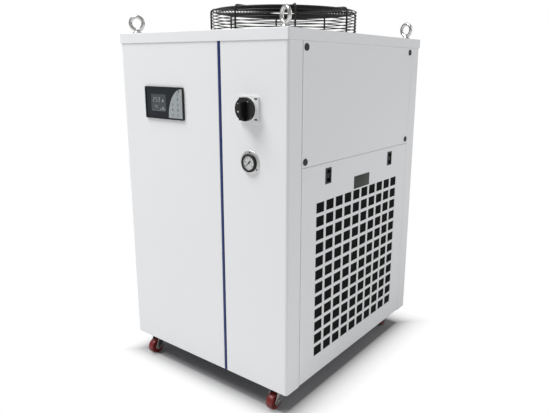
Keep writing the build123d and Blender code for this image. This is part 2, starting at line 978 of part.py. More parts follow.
pointer_plane = Plane(
    origin=(gauge_x, -half_depth - dial_front - pointer_lift, gauge_centre_z),
    x_dir=(cos(radians(pointer_rest)), 0, sin(radians(pointer_rest))),
    z_dir=(0, -1, 0),
)
with BuildPart() as gauge_pointer:
    with BuildSketch(pointer_plane):
        with BuildLine():
            Polyline(
                (-pointer_tail, pointer_width),
                (0, pointer_width / 2),
                (pointer_length, 0.2),
                (pointer_length, -0.2),
                (0, -pointer_width / 2),
                (-pointer_tail, -pointer_width),
                close=True,
            )
        make_face()
        Circle(pointer_hub_radius)
    extrude(amount=pointer_thickness)
    with BuildSketch(pointer_plane):
        Circle(pointer_pin_radius + shaft_clearance)
    extrude(amount=pin_reach - pointer_lift + 0.1, mode=Mode.SUBTRACT)
gauge_pointer.part.label = "gauge_pointer"
export_step(gauge_pointer.part, "parts/gauge_pointer.step")

lens_back = gauge_bezel_height - lens_setback - lens_thickness
with BuildPart() as gauge_lens:
    with BuildSketch(front.offset(lens_back)):
        with Locations(gauge_at):
            Circle(dial_radius)
    extrude(amount=lens_thickness)
gauge_lens.part.label = "gauge_lens"
export_step(gauge_lens.part, "parts/gauge_lens.step")


# Wire cage over the fan: bent ribs, with rings welded inside and under them
guard_top_z = cover_top_z + guard_height
ring_turn = 180 / ring_sides
ring_apothem = guard_radius - rib_size
top_ring_z = guard_top_z - rib_size - wire
rib_angles = [index * 360 / rib_count for index in range(rib_count)]
side_ring_levels = [cover_top_z + side_ring_low + index * side_ring_pitch for index in range(side_rings)]
top_ring_radii = [ring_apothem - wire - index * top_ring_pitch for index in range(top_rings)]
with BuildPart() as fan_guard:
    for level in side_ring_levels:
        with BuildSketch(Plane.XY.offset(level)):
            with Locations((0, fan_y)):
                RegularPolygon(ring_apothem, ring_sides, major_radius=False, rotation=ring_turn)
                RegularPolygon(
                    ring_apothem - wire, ring_sides, major_radius=False, rotation=ring_turn, mode=Mode.SUBTRACT
                )
        extrude(amount=wire)
    with BuildSketch(Plane.XY.offset(top_ring_z)):
        with Locations((0, fan_y)):
            for ring_size in top_ring_radii:
                RegularPolygon(ring_size, ring_sides, major_radius=False, rotation=ring_turn)
                RegularPolygon(
                    ring_size - wire, ring_sides, major_radius=False, rotation=ring_turn, mode=Mode.SUBTRACT
                )
    extrude(amount=wire)
    for angle in rib_angles:
        rib_plane = Plane(
            origin=(0, fan_y, cover_top_z),
            x_dir=(cos(radians(angle)), sin(radians(angle)), 0),
            z_dir=(sin(radians(angle)), -cos(radians(angle)), 0),
        )
        with BuildSketch(rib_plane):
            with BuildLine():
                Polyline(
                    (hub_plate_radius, guard_height),
                    (guard_radius, guard_height),
                    (guard_radius, rib_foot_thickness),
                    (guard_radius + rib_foot, rib_foot_thickness),
                    (guard_radius + rib_foot, 0),
                    (ring_apothem, 0),
                    (ring_apothem, guard_height - rib_size),
                    (hub_plate_radius, guard_height - rib_size),
                    close=True,
                )
            make_face()
        extrude(amount=rib_size / 2, both=True)
    with BuildSketch(Plane.XY.offset(guard_top_z - hub_plate_thickness)):
        with Locations((0, fan_y)):
            RegularPolygon(hub_plate_radius, ring_sides, major_radius=False, rotation=ring_turn)
    extrude(amount=hub_plate_thickness)
fan_guard.part.label = "fan_guard"
export_step(fan_guard.part, "parts/fan_guard.step")


# Two straps that carry the fan motor under the collar
strap_z = cover_top_z - collar_depth - bracket_drop
strap_reach = frame_x - angle_sheet
strap_places = (fan_y - bracket_spacing / 2, fan_y + bracket_spacing / 2)
with BuildPart() as fan_bracket:
    for strap_y in strap_places:
        with BuildSketch(Plane.XZ.offset(-strap_y - bracket_width / 2)):
            with BuildLine():
                Polyline(
                    (-strap_reach, strap_z + bracket_tab),
                    (-strap_reach, strap_z),
                    (strap_reach, strap_z),
                    (strap_reach, strap_z + bracket_tab),
                )
                offset(amount=bracket_thickness, side=Side.LEFT)
            make_face()
        extrude(amount=bracket_width)
fan_bracket.part.label = "fan_bracket"
export_step(fan_bracket.part, "parts/fan_bracket.step")


# Fan motor under the straps, with a bearing bore for the impeller's shaft
motor_boss_radius = bracket_spacing / 2 - bracket_width / 2 - 1
motor_boss_height = bracket_thickness + 4
motor_top_z = strap_z + motor_boss_height
with BuildPart() as fan_motor:
    with BuildSketch(Plane.XY.offset(strap_z - motor_height)):
        with Locations((0, fan_y)):
            Circle(motor_radius)
    extrude(amount=motor_height)
    with BuildSketch(Plane.XY.offset(strap_z)):
        with Locations((0, fan_y)):
            Circle(motor_boss_radius)
    extrude(amount=motor_boss_height)
    with BuildSketch(Plane.XY.offset(motor_top_z)):
        with Locations((0, fan_y)):
            Circle(motor_shaft_radius + motor_shaft_clearance)
    extrude(amount=-motor_bore_depth - 1, mode=Mode.SUBTRACT)
fan_motor.part.label = "fan_motor"
export_step(fan_motor.part, "parts/fan_motor.step")


# Impeller: a cupped hub with twisted blades and a shaft
hub_low_z = motor_top_z + impeller_lift
hub_mid_z = hub_low_z + impeller_hub_height / 2
with BuildPart() as fan_impeller:
    with BuildSketch(Plane.XY.offset(hub_low_z)):
        with Locations((0, fan_y)):
            Circle(impeller_hub_radius)
    extrude(amount=impeller_hub_height)
    for blade in range(blade_count):
        blade_angle = blade * 360 / blade_count
        stations = (
            (impeller_hub_radius - 12, blade_root_chord, blade_root_pitch, 0),
            (fan_radius, blade_tip_chord, blade_tip_pitch, blade_tip_sweep),
        )
        for reach, chord, pitch, sweep_angle in stations:
            out = radians(blade_angle + sweep_angle)
            along = (-sin(out) * cos(radians(pitch)), cos(out) * cos(radians(pitch)), sin(radians(pitch)))
            span = (fan_radius**2 - (blade_tip_chord / 2) ** 2) ** 0.5 if reach == fan_radius else reach
            with BuildSketch(
                Plane(
                    origin=(span * cos(out), fan_y + span * sin(out), hub_mid_z),
                    x_dir=along,
                    z_dir=(cos(out), sin(out), 0),
                )
            ):
                Rectangle(chord, blade_thickness)
        loft(ruled=True)
    with BuildSketch(Plane.XY.offset(hub_low_z)):
        with Locations((0, fan_y)):
            Circle(motor_shaft_radius)
    extrude(amount=-impeller_lift - motor_bore_depth)
fan_impeller.part.label = "fan_impeller"
export_step(fan_impeller.part, "parts/fan_impeller.step")


# Compressor on its foot plate, and the rubber feet under it
compressor_low_z = tray_floor_z + foot_height
compressor_top_z = compressor_low_z + compressor_height
foot_pitch = compressor_plate - 2 * foot_radius
with BuildPart() as compressor:
    with BuildSketch(Plane.XY.offset(compressor_low_z)):
        with Locations((compressor_x, compressor_y)):
            Rectangle(compressor_plate, compressor_plate)
    extrude(amount=compressor_plate_thickness)
    with BuildSketch(Plane.XY.offset(compressor_low_z)):
        with Locations((compressor_x, compressor_y)):
            Circle(compressor_radius)
    extrude(amount=compressor_height)
    chamfer(compressor.edges().sort_by(Axis.Z)[-1], compressor_shoulder)
compressor.part.label = "compressor"
export_step(compressor.part, "parts/compressor.step")

with BuildPart() as compressor_feet:
    with BuildSketch(Plane.XY.offset(tray_floor_z)):
        with Locations((compressor_x, compressor_y)):
            with GridLocations(foot_pitch, foot_pitch, 2, 2):
                Circle(foot_radius)
    extrude(amount=foot_height)
compressor_feet.part.label = "compressor_feet"
export_step(compressor_feet.part, "parts/compressor_feet.step")


# Condenser: a finned block in a thin sheet surround, behind the gauze
condenser_out_x = half_width - panel_fold - condenser_gap
condenser_in_x = condenser_out_x - condenser_thickness
condenser_top_z = tray_floor_z + condenser_height
with BuildPart() as condenser:
    with BuildSketch(Plane.YZ.offset(condenser_in_x)):
        with Locations((0, tray_floor_z + condenser_height / 2)):
            Rectangle(condenser_length, condenser_height)
    extrude(amount=condenser_thickness)
    with BuildSketch(Plane.YZ.offset(condenser_out_x)):
        with Locations((0, tray_floor_z + condenser_height / 2)):
            Rectangle(condenser_length - 2 * condenser_end, condenser_height - 2 * condenser_end)
    extrude(amount=-condenser_end, mode=Mode.SUBTRACT)
condenser.part.label = "condenser"
export_step(condenser.part, "parts/condenser.step")


# Plate evaporator
evaporator_face_y = evaporator_y + evaporator_depth / 2
evaporator_left_x = evaporator_x - evaporator_width / 2 + evaporator_port_inset
evaporator_right_x = evaporator_x + evaporator_width / 2 - evaporator_port_inset
evaporator_low_port_z = tray_floor_z + evaporator_port_low
evaporator_high_port_z = tray_floor_z + evaporator_height - evaporator_port_low
with BuildPart() as evaporator:
    with BuildSketch(Plane.XY.offset(tray_floor_z)):
        with Locations((evaporator_x, evaporator_y)):
            RectangleRounded(evaporator_width, evaporator_depth, 12)
    extrude(amount=evaporator_height)
evaporator.part.label = "evaporator"
export_step(evaporator.part, "parts/evaporator.step")


# Filter drier in the liquid line
with BuildPart() as filter_drier:
    with BuildSketch(Plane.XY.offset(drier_low)):
        with Locations((drier_x, drier_y)):
            Circle(drier_radius)
    extrude(amount=drier_height)
filter_drier.part.label = "filter_drier"
export_step(filter_drier.part, "parts/filter_drier.step")


# Copper pipes of the refrigerant circuit
discharge_x = compressor_x + port_offset
condenser_mid_x = condenser_out_x - condenser_thickness / 2
discharge_level = condenser_top_z + 60
suction_level = compressor_top_z + 60
drier_top_z = drier_low + drier_height
feed_y = drier_y
pipe_routes = (
    (
        (discharge_x, compressor_y, compressor_top_z),
        (discharge_x, compressor_y, discharge_level),
        (condenser_mid_x, compressor_y, discharge_level),
        (condenser_mid_x, compressor_y, condenser_top_z),
    ),
    (
        (condenser_in_x, feed_y, drier_low - 34),
        (drier_x, feed_y, drier_low - 34),
        (drier_x, feed_y, drier_low),
    ),
    (
        (drier_x, drier_y, drier_top_z),
        (drier_x, drier_y, drier_top_z + 50),
        (evaporator_right_x, drier_y, drier_top_z + 50),
        (evaporator_right_x, drier_y, evaporator_low_port_z),
        (evaporator_right_x, evaporator_face_y, evaporator_low_port_z),
    ),
    (
        (evaporator_left_x, evaporator_face_y, evaporator_high_port_z),
        (evaporator_left_x, drier_y + 20, evaporator_high_port_z),
        (evaporator_left_x, drier_y + 20, suction_level),
        (compressor_x - port_offset, compressor_y, suction_level),
        (compressor_x - port_offset, compressor_y, compressor_top_z),
    ),
)


with BuildPart() as refrigerant_pipes:
    for route in pipe_routes:
        with BuildLine():
            pipe_line = FilletPolyline(*route, radius=pipe_bend)
        with BuildSketch(pipe_line ^ 0):
            RegularPolygon(pipe_radius, pipe_sides)
        sweep(path=pipe_line)
refrigerant_pipes.part.label = "refrigerant_pipes"
export_step(refrigerant_pipes.part, "parts/refrigerant_pipes.step")


# Water tank with its lid
tank_top_z = tray_floor_z + tank_height
tank_front_y = tank_y - tank_depth / 2
tank_rear_y = tank_y + tank_depth / 2
with BuildPart() as water_tank:
    with BuildSketch(Plane.XY.offset(tray_floor_z)):
        with Locations((tank_x, tank_y)):
            RectangleRounded(tank_width, tank_depth, 14)
    extrude(amount=tank_height - tank_lid)
    with BuildSketch(Plane.XY.offset(tank_top_z - tank_lid)):
        with Locations((tank_x, tank_y)):
            Rectangle(tank_width + 2 * tank_lid_lip, tank_depth + 2 * tank_lid_lip)
    extrude(amount=tank_lid)
water_tank.part.label = "water_tank"
export_step(water_tank.part, "parts/water_tank.step")


# Water pump: motor on its foot, with the pump head at its rear end
pump_z = tray_floor_z + pump_axis_height
pump_head_back_y = pump_y + pump_head_length / 2
pump_head_front_y = pump_y - pump_head_length / 2
pump_outlet_z = pump_z + pump_head_radius + 8
with BuildPart() as water_pump:
    with BuildSketch(Plane.XZ.offset(-pump_head_back_y)):
        with Locations((tank_x, pump_z)):
            Circle(pump_head_radius)
    extrude(amount=pump_head_length)
    with BuildSketch(Plane.XZ.offset(-pump_head_front_y)):
        with Locations((tank_x, pump_z)):
            RegularPolygon(pump_motor_radius, 16)
    extrude(amount=pump_motor_length)
    with BuildSketch(Plane.XY.offset(tray_floor_z)):
        with Locations((tank_x, pump_head_front_y - pump_motor_length / 2)):
            Rectangle(pump_foot_width, pump_foot_width)
    extrude(amount=pump_axis_height)
    with BuildSketch(Plane.XY.offset(pump_z)):
        with Locations((tank_x, pump_y)):
            Circle(pump_outlet_radius)
    extrude(amount=pump_outlet_z - pump_z)
water_pump.part.label = "water_pump"
export_step(water_pump.part, "parts/water_pump.step")


# Water hoses, the fill hose and the thin tube to the gauge
port_inner_y = half_depth - sheet - port_tail
hose_side_y = evaporator_face_y + 42
crossing_level = pump_outlet_z + 56
capillary_x = tank_x - (hose_radius + pump_outlet_radius) / 2
gauge_back_y = gauge_can_depth - half_depth
neck_tail_z = cover_top_z - neck_tail
hose_routes = (
    (
        (tank_x, pump_y, pump_outlet_z),
        (tank_x, pump_y, crossing_level),
        (evaporator_left_x, pump_y, crossing_level),
        (evaporator_left_x, pump_y, evaporator_low_port_z),
        (evaporator_left_x, evaporator_face_y, evaporator_low_port_z),
    ),
    (
        (evaporator_right_x, evaporator_face_y, evaporator_high_port_z),
        (evaporator_right_x, hose_side_y, evaporator_high_port_z),
        (evaporator_right_x, hose_side_y, port_centre_z),
        (outlet_x, hose_side_y, port_centre_z),
        (outlet_x, port_inner_y, port_centre_z),
    ),
)
capillary_route = (
    (capillary_x, pump_y, pump_outlet_z),
    (capillary_x, pump_y, gauge_centre_z),
    (gauge_x, pump_y, gauge_centre_z),
    (gauge_x, gauge_back_y, gauge_centre_z),
)
with BuildPart() as water_hoses:
    for route in hose_routes:
        with BuildLine():
            hose_line = FilletPolyline(*route, radius=hose_bend)
        with BuildSketch(hose_line ^ 0):
            RegularPolygon(hose_radius, hose_sides)
        sweep(path=hose_line)
    with BuildLine():
        capillary_line = FilletPolyline(*capillary_route, radius=capillary_bend)
    with BuildSketch(capillary_line ^ 0):
        RegularPolygon(capillary_radius, capillary_sides)
    sweep(path=capillary_line)
    with BuildSketch(Plane.XZ.offset(-tank_front_y)):
        with Locations((tank_x, pump_z)):
            RegularPolygon(hose_radius, hose_sides)
    extrude(amount=tank_front_y - pump_head_back_y)
    with BuildSketch(Plane.XZ.offset(-port_inner_y)):
        with Locations((inlet_x, port_centre_z), (drain_x, drain_centre_z)):
            RegularPolygon(port_bore_radius, hose_sides)
    extrude(amount=port_inner_y - tank_rear_y)
    with BuildSketch(Plane.XY.offset(tank_top_z)):
        with Locations((neck_x, neck_y)):
            RegularPolygon(neck_radius, 2 * hose_sides)
    extrude(amount=neck_tail_z - tank_top_z)
water_hoses.part.label = "water_hoses"
export_step(water_hoses.part, "parts/water_hoses.step")


# Electrical plate: a folded plate between the left post and the blue strip's post
plate_left_x = angle_sheet - frame_x
plate_right_x = mullion_x - mullion_width / 2
with BuildPart() as electric_plate:
    with BuildSketch(Plane.XY.offset(plate_low)):
        with BuildLine():
            Polyline(
                (plate_left_x, plate_y - plate_fold),
                (plate_left_x, plate_y),
                (plate_right_x, plate_y),
                (plate_right_x, plate_y - plate_fold),
            )
            offset(amount=sheet, side=Side.RIGHT)
        make_face()
    extrude(amount=plate_height)
electric_plate.part.label = "electric_plate"
export_step(electric_plate.part, "parts/electric_plate.step")

contactor_x = (plate_left_x + plate_right_x) / 2
plate_face = Plane.XZ.offset(sheet - plate_y)
with BuildPart() as contactors:
    with BuildSketch(plate_face):
        with Locations((contactor_x, plate_low + contactor_rise)):
            with GridLocations(contactor_pitch, 1, contactor_count, 1):
                Rectangle(contactor_width, contactor_height)
        with Locations((contactor_x, plate_low + terminal_rise)):
            Rectangle(terminal_length, terminal_height)
    extrude(amount=contactor_depth)
contactors.part.label = "contactors"
export_step(contactors.part, "parts/contactors.step")


# Water inlet and outlet: a threaded port with a hexagon against the rear panel
port_places = [(-inlet_x, port_centre_z), (-outlet_x, port_centre_z)]
with BuildPart() as water_ports:
    with BuildSketch(rear):
        with Locations(*port_places):
            RegularPolygon(port_hex / 2, 6, major_radius=False)
    extrude(amount=port_hex_length)
    with BuildSketch(rear.offset(-sheet - port_tail)):
        with Locations(*port_places):
            Circle(port_thread_radius)
    extrude(amount=sheet + port_tail + port_hex_length + port_thread_length)
    with BuildSketch(rear.offset(-sheet - port_tail)):
        with Locations(*port_places):
            Circle(port_bore_radius)
    extrude(amount=sheet + port_tail + port_hex_length + port_thread_length, mode=Mode.SUBTRACT)
water_ports.part.label = "water_ports"
export_step(water_ports.part, "parts/water_ports.step")


# Drain valve and its lever
drain_at = (-drain_x, drain_centre_z)
stem_y = half_depth + drain_body_length / 2
boss_top_z = drain_centre_z + drain_hex / 2 + stem_height
with BuildPart() as drain_valve:
    with BuildSketch(rear):
        with Locations(drain_at):
            Rectangle(drain_hex, drain_hex)
    extrude(amount=drain_body_length)
    with BuildSketch(rear.offset(-sheet - port_tail)):
        with Locations(drain_at):
            Circle(drain_outlet_radius)
    extrude(amount=sheet + port_tail + drain_body_length + drain_outlet_length)
    with BuildSketch(Plane.XY.offset(drain_centre_z)):
        with Locations((drain_x, stem_y)):
            Circle(handle_hub_radius)
    extrude(amount=boss_top_z - drain_centre_z)
    with BuildSketch(Plane.XY.offset(boss_top_z)):
        with Locations((drain_x, stem_y)):
            Circle(stem_radius + shaft_clearance)
    extrude(amount=-stem_height - 1, mode=Mode.SUBTRACT)
    with BuildSketch(rear.offset(drain_body_length + drain_outlet_length)):
        with Locations(drain_at):
            Circle(drain_bore)
    extrude(amount=-drain_outlet_length, mode=Mode.SUBTRACT)
drain_valve.part.label = "drain_valve"
export_step(drain_valve.part, "parts/drain_valve.step")

with BuildPart() as drain_handle:
    with BuildSketch(Plane.XY.offset(boss_top_z + slider_clearance)):
        with Locations((drain_x - handle_length / 2 + handle_hub_radius, stem_y)):
            Rectangle(handle_length, handle_width)
    extrude(amount=handle_thickness)
    with BuildSketch(Plane.XY.offset(boss_top_z + slider_clearance)):
        with Locations((drain_x, stem_y)):
            Circle(stem_radius)
    extrude(amount=-stem_height)
drain_handle.part.label = "drain_handle"
export_step(drain_handle.part, "parts/drain_handle.step")


# Cable gland, with no cable in it
gland_at = (-gland_x, gland_centre_z)
gland_reach = gland_hex_thickness + gland_dome_length
with BuildPart() as cable_gland:
    with BuildSketch(rear):
        with Locations(gland_at):
            RegularPolygon(gland_hex / 2, 6, major_radius=False)
    extrude(amount=gland_hex_thickness)
    with BuildSketch(rear):
        with Locations(gland_at):
            Circle(gland_dome_radius)
    extrude(amount=gland_reach)
    with BuildSketch(rear):
        with Locations(gland_at):
            Circle(gland_thread_radius)
    extrude(amount=-gland_thread_length)
    with BuildSketch(rear.offset(-gland_thread_length)):
        with Locations(gland_at):
            Circle(gland_bore)
    extrude(amount=gland_thread_length + gland_reach, mode=Mode.SUBTRACT)
cable_gland.part.label = "cable_gland"
export_step(cable_gland.part, "parts/cable_gland.step")


# Fill neck through the cover, and the cap over it
neck_top_z = cover_top_z + neck_height
with BuildPart() as fill_neck:
    with BuildSketch(Plane.XY.offset(neck_tail_z)):
        with Locations((neck_x, neck_y)):
            Circle(neck_radius)
    extrude(amount=neck_top_z - neck_tail_z)
    with BuildSketch(cover_top):
        with Locations((neck_x, neck_y)):
            Circle(neck_flange_radius)
    extrude(amount=neck_flange_thickness)
    with BuildSketch(Plane.XY.offset(neck_tail_z)):
        with Locations((neck_x, neck_y)):
            Circle(neck_bore)
    extrude(amount=neck_top_z - neck_tail_z, mode=Mode.SUBTRACT)
fill_neck.part.label = "fill_neck"
export_step(fill_neck.part, "parts/fill_neck.step")

cap_low_edge_z = cover_top_z + neck_flange_thickness + slider_clearance
cap_socket = neck_radius + cap_clearance
with BuildPart() as fill_cap:
    with BuildSketch(Plane.XY.offset(cap_low_edge_z)):
        with Locations((neck_x, neck_y)):
            RegularPolygon(cap_socket + cap_wall, cap_sides)
    extrude(amount=neck_top_z + cap_roof - cap_low_edge_z)
    with BuildSketch(Plane.XY.offset(cap_low_edge_z)):
        with Locations((neck_x, neck_y)):
            RegularPolygon(cap_socket, cap_sides, major_radius=False)
    extrude(amount=neck_top_z - cap_low_edge_z, mode=Mode.SUBTRACT)
fill_cap.part.label = "fill_cap"
export_step(fill_cap.part, "parts/fill_cap.step")


# Caster top plates, each with its fixed race and its kingpin
caster_x = half_width - caster_side_inset
caster_y = half_depth - caster_end_inset
caster_places = [(side * caster_x, end * caster_y) for side, end in corners]
caster_plate_z = caster_height - caster_plate_thickness
race_low_z = caster_plate_z - race_height
crown_top_z = race_low_z - swivel_gap
crown_low_z = crown_top_z - crown_thickness
pin_head_z = crown_low_z - swivel_gap
with BuildPart() as caster_plates:
    with BuildSketch(Plane.XY.offset(caster_plate_z)):
        with Locations(*caster_places):
            Rectangle(caster_plate_x, caster_plate_y)
    extrude(amount=caster_plate_thickness)
    with BuildSketch(Plane.XY.offset(race_low_z)):
        with Locations(*caster_places):
            Circle(race_radius)
    extrude(amount=race_height)
    with BuildSketch(Plane.XY.offset(pin_head_z)):
        with Locations(*caster_places):
            Circle(kingpin_radius)
    extrude(amount=race_low_z - pin_head_z)
    with BuildSketch(Plane.XY.offset(pin_head_z)):
        with Locations(*caster_places):
            Circle(kingpin_head_radius)
    extrude(amount=-kingpin_head)
caster_plates.part.label = "caster_plates"
export_step(caster_plates.part, "parts/caster_plates.step")


# Caster forks with their axles, and the wheels on them
cheek_in_x = wheel_width / 2 + cheek_gap
fork_half_width = cheek_in_x + cheek_thickness
axle_reach = fork_half_width + axle_head_thickness
for side_name, side in {"l": -1, "r": 1}.items():
    for end_name, end in {"f": -1, "r": 1}.items():
        pivot_x = side * caster_x
        pivot_y = end * caster_y
        axle_y = pivot_y - trail
        side_plane = Plane.YZ.offset(pivot_x)
        with BuildPart() as caster_fork:
            with BuildSketch(Plane.XY.offset(crown_low_z)):
                with Locations((pivot_x, pivot_y)):
                    Rectangle(2 * fork_half_width, crown_length)
                    Circle(kingpin_radius + kingpin_clearance, mode=Mode.SUBTRACT)
            extrude(amount=crown_thickness)
            with BuildSketch(side_plane):
                with BuildLine():
                    Polyline(
                        (pivot_y + crown_length / 2, crown_top_z),
                        (pivot_y - crown_length / 2, crown_top_z),
                        (axle_y - cheek_end_radius, wheel_radius),
                        (axle_y - cheek_end_radius / 2, wheel_radius - 0.87 * cheek_end_radius),
                        (axle_y + cheek_end_radius / 2, wheel_radius - 0.87 * cheek_end_radius),
                        (axle_y + cheek_end_radius, wheel_radius),
                        (pivot_y + crown_length / 2, crown_low_z - 6),
                        close=True,
                    )
                make_face()
            extrude(amount=fork_half_width, both=True)
            with BuildSketch(Plane.XZ.offset(-pivot_y - crown_length)):
                with BuildLine():
                    Polyline(
                        (pivot_x - cheek_in_x, 0),
                        (pivot_x + cheek_in_x, 0),
                        (pivot_x + cheek_in_x, crown_low_z),
                        (pivot_x - cheek_in_x, crown_low_z),
                        close=True,
                    )
                make_face()
            extrude(amount=3 * crown_length, mode=Mode.SUBTRACT)
            with BuildSketch(Plane.XY.offset(crown_low_z)):
                with Locations((pivot_x, pivot_y)):
                    Circle(kingpin_radius + kingpin_clearance)
            extrude(amount=crown_thickness, mode=Mode.SUBTRACT)
            with BuildSketch(side_plane):
                with Locations((axle_y, wheel_radius)):
                    Circle(axle_radius)
            extrude(amount=cheek_in_x, both=True)
            with BuildSketch(Plane.YZ.offset(pivot_x - axle_reach)):
                with Locations((axle_y, wheel_radius)):
                    RegularPolygon(axle_head / 2, 6, major_radius=False)
            extrude(amount=axle_head_thickness)
            with BuildSketch(Plane.YZ.offset(pivot_x + fork_half_width)):
                with Locations((axle_y, wheel_radius)):
                    RegularPolygon(axle_head / 2, 6, major_radius=False)
            extrude(amount=axle_head_thickness)
        caster_fork.part.label = f"caster_fork_{end_name}{side_name}"
        export_step(caster_fork.part, f"parts/caster_fork_{end_name}{side_name}.step")

        with BuildPart() as caster_wheel:
            with BuildSketch(side_plane):
                with Locations((axle_y, wheel_radius)):
                    Circle(wheel_radius)
                    Circle(axle_radius + axle_clearance, mode=Mode.SUBTRACT)
            extrude(amount=wheel_width / 2, both=True)
        caster_wheel.part.label = f"caster_wheel_{end_name}{side_name}"
        export_step(caster_wheel.part, f"parts/caster_wheel_{end_name}{side_name}.step")
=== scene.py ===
import math

import bmesh
import bpy
from mathutils import Matrix, Vector


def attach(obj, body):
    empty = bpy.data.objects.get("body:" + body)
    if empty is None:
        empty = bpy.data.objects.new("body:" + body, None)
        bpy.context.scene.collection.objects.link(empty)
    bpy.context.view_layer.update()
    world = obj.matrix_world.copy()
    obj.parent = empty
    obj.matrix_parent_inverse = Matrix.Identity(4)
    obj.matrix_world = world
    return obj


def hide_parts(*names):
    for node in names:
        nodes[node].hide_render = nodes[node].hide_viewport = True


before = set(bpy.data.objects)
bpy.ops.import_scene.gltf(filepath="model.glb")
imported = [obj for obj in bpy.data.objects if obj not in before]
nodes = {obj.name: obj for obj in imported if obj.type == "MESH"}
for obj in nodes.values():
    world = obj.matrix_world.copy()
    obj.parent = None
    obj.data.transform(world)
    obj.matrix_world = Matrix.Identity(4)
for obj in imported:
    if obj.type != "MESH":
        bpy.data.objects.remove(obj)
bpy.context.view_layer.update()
up = Vector((0, 0, 1))
outward = (0, -1, 0)  # the way the front faces
sideways = (1, 0, 0)  # the way the right side faces
frontFace = -0.3775  # the front panels' outer face
print("frame loaded:", len(nodes), "nodes")


def plug(tree, item, slot):  # a link where the item is a socket, or else a fixed value
    if isinstance(item, Value):
        item = item.socket
    if isinstance(item, bpy.types.NodeSocket):
        tree.links.new(item, slot)
    else:
        slot.default_value = item


# one shader value that can be added, multiplied and so on
class Value:
    def __init__(self, tree, socket):
        self.tree = tree
        self.socket = socket

    def maths(self, operation, other=None, swapped=False):
        step = self.tree.nodes.new("ShaderNodeMath")
        step.operation = operation
        for slot, item in zip(step.inputs, (other, self) if swapped else (self, other)):
            if item is not None:
                plug(self.tree, item, slot)
        return Value(self.tree, step.outputs[0])

    def __add__(self, other):
        return self.maths("ADD", other)

    def __sub__(self, other):
        return self.maths("SUBTRACT", other)

    def __rsub__(self, other):
        return self.maths("SUBTRACT", other, True)

    def __mul__(self, other):
        return self.maths("MULTIPLY", other)

    def __truediv__(self, other):
        return self.maths("DIVIDE", other)

    def __pow__(self, other):
        return self.maths("POWER", other)

    def __abs__(self):
        return self.maths("ABSOLUTE")

    def clamped(self):
        return self.maths("MINIMUM", 1.0).maths("MAXIMUM", 0.0)

    __radd__ = __add__


class Finish:
    def __init__(self, name, **fixed):
        self.material = bpy.data.materials.new(name)
        self.material.use_nodes = True
        self.tree = self.material.node_tree
        self.shader = self.tree.nodes["Principled BSDF"]
        self.place = self.node("ShaderNodeTexCoord").outputs["Object"]
        for socket, value in fixed.items():
            self.shader.inputs[socket.replace("_", " ")].default_value = value

    def node(self, kind, settings=None, sockets=None):
        made = self.tree.nodes.new(kind)
        for key, value in (settings or {}).items():
            setattr(made, key, value)
        for key, value in (sockets or {}).items():
            plug(self.tree, value, made.inputs[key])
        return made

    def noise(self, scale, detail=2.0, stretch=None, roughness=0.5):
        place = self.place
        if stretch:
            place = self.node("ShaderNodeMapping", None, {"Vector": place, "Scale": stretch}).outputs[0]
        sockets = {"Vector": place, "Scale": scale, "Detail": detail, "Roughness": roughness}
        return Value(self.tree, self.node("ShaderNodeTexNoise", None, sockets).outputs["Fac"])

    def axis(self, letter):
        split = self.node("ShaderNodeSeparateXYZ", None, {"Vector": self.place})
        return Value(self.tree, split.outputs[letter])

    def wave(self, period, letter):
        turn = self.axis(letter) * (2 * math.pi / period)
        return turn.maths("SINE") * 0.5 + 0.5

    def blend(self, factor, first, second):
        made = self.node("ShaderNodeMix", {"data_type": "RGBA"})
        for index, item in ((0, factor), (6, first), (7, second)):  # the node's sockets for colours
            plug(self.tree, (*item, 1) if isinstance(item, tuple) else item, made.inputs[index])
        return made.outputs[2]

    def feed(self, socket, source):
        plug(self.tree, source, self.shader.inputs[socket])

    def bump(self, height, strength, distance):
        sockets = {"Strength": strength, "Distance": distance, "Height": height}
        self.feed("Normal", self.node("ShaderNodeBump", None, sockets).outputs[0])


def shade(colour, factor):
    return tuple(min(1.0, channel * factor) for channel in colour)


# finishes
def powderCoat(name, look):
    f = Finish(name, Metallic=0.0, Specular_IOR_Level=0.5)
    cloud = f.noise(2.6, 2)  # broad unevenness of the coat
    peel = f.noise(look["peel"], 2)  # orange peel
    scuffs = ((f.noise(38, 5, (1, 1, 0.3), 0.62) - 0.64) * 9).clamped()  # few, and drawn out upright
    grime = ((look["grimeTop"] - f.axis("Z")) / look["grimeTop"]).clamped() * f.noise(14, 4)
    coat = f.blend(cloud, shade(look["colour"], 0.985), shade(look["colour"], 1.012))
    coat = f.blend(scuffs * look["scuffs"], coat, shade(look["colour"], 0.8))
    f.feed("Base Color", f.blend(grime * look["grime"], coat, look["grimeColour"]))
    f.feed("Roughness", cloud * 0.08 + scuffs * 0.12 + look["roughness"])
    f.bump(peel, look["peelStrength"], 0.0004)
    return f.material


def plastic(name, colour, roughness=0.42, grain=1400, strength=0.12, sheen=0.5):
    f = Finish(name, Metallic=0.0, Specular_IOR_Level=sheen)
    cloud = f.noise(22, 3)
    texture = f.noise(grain, 2)  # the mould's texture
    rub = ((f.noise(60, 5, None, 0.65) - 0.6) * 8).clamped()  # paler where it is handled
    body = f.blend(cloud, shade(colour, 0.92), shade(colour, 1.08))
    f.feed("Base Color", f.blend(rub * 0.5, body, shade(colour, 1.3)))
    f.feed("Roughness", roughness + cloud * 0.08 - rub * 0.06)
    f.bump(texture, strength, 0.0003)
    return f.material


def plated(name, colour, roughness=0.25, grain=(1, 1, 1), scale=120, strength=0.05):
    f = Finish(name, Metallic=1.0)
    cloud = f.noise(18, 4)
    brush = f.noise(scale, 4, grain, 0.6)  # brushed along the axis that the grain stretches
    f.feed("Base Color", f.blend(cloud, shade(colour, 0.88), shade(colour, 1.06)))
    f.feed("Roughness", roughness + brush * 0.16 + cloud * 0.06)
    f.bump(brush, strength, 0.0003)
    return f.material


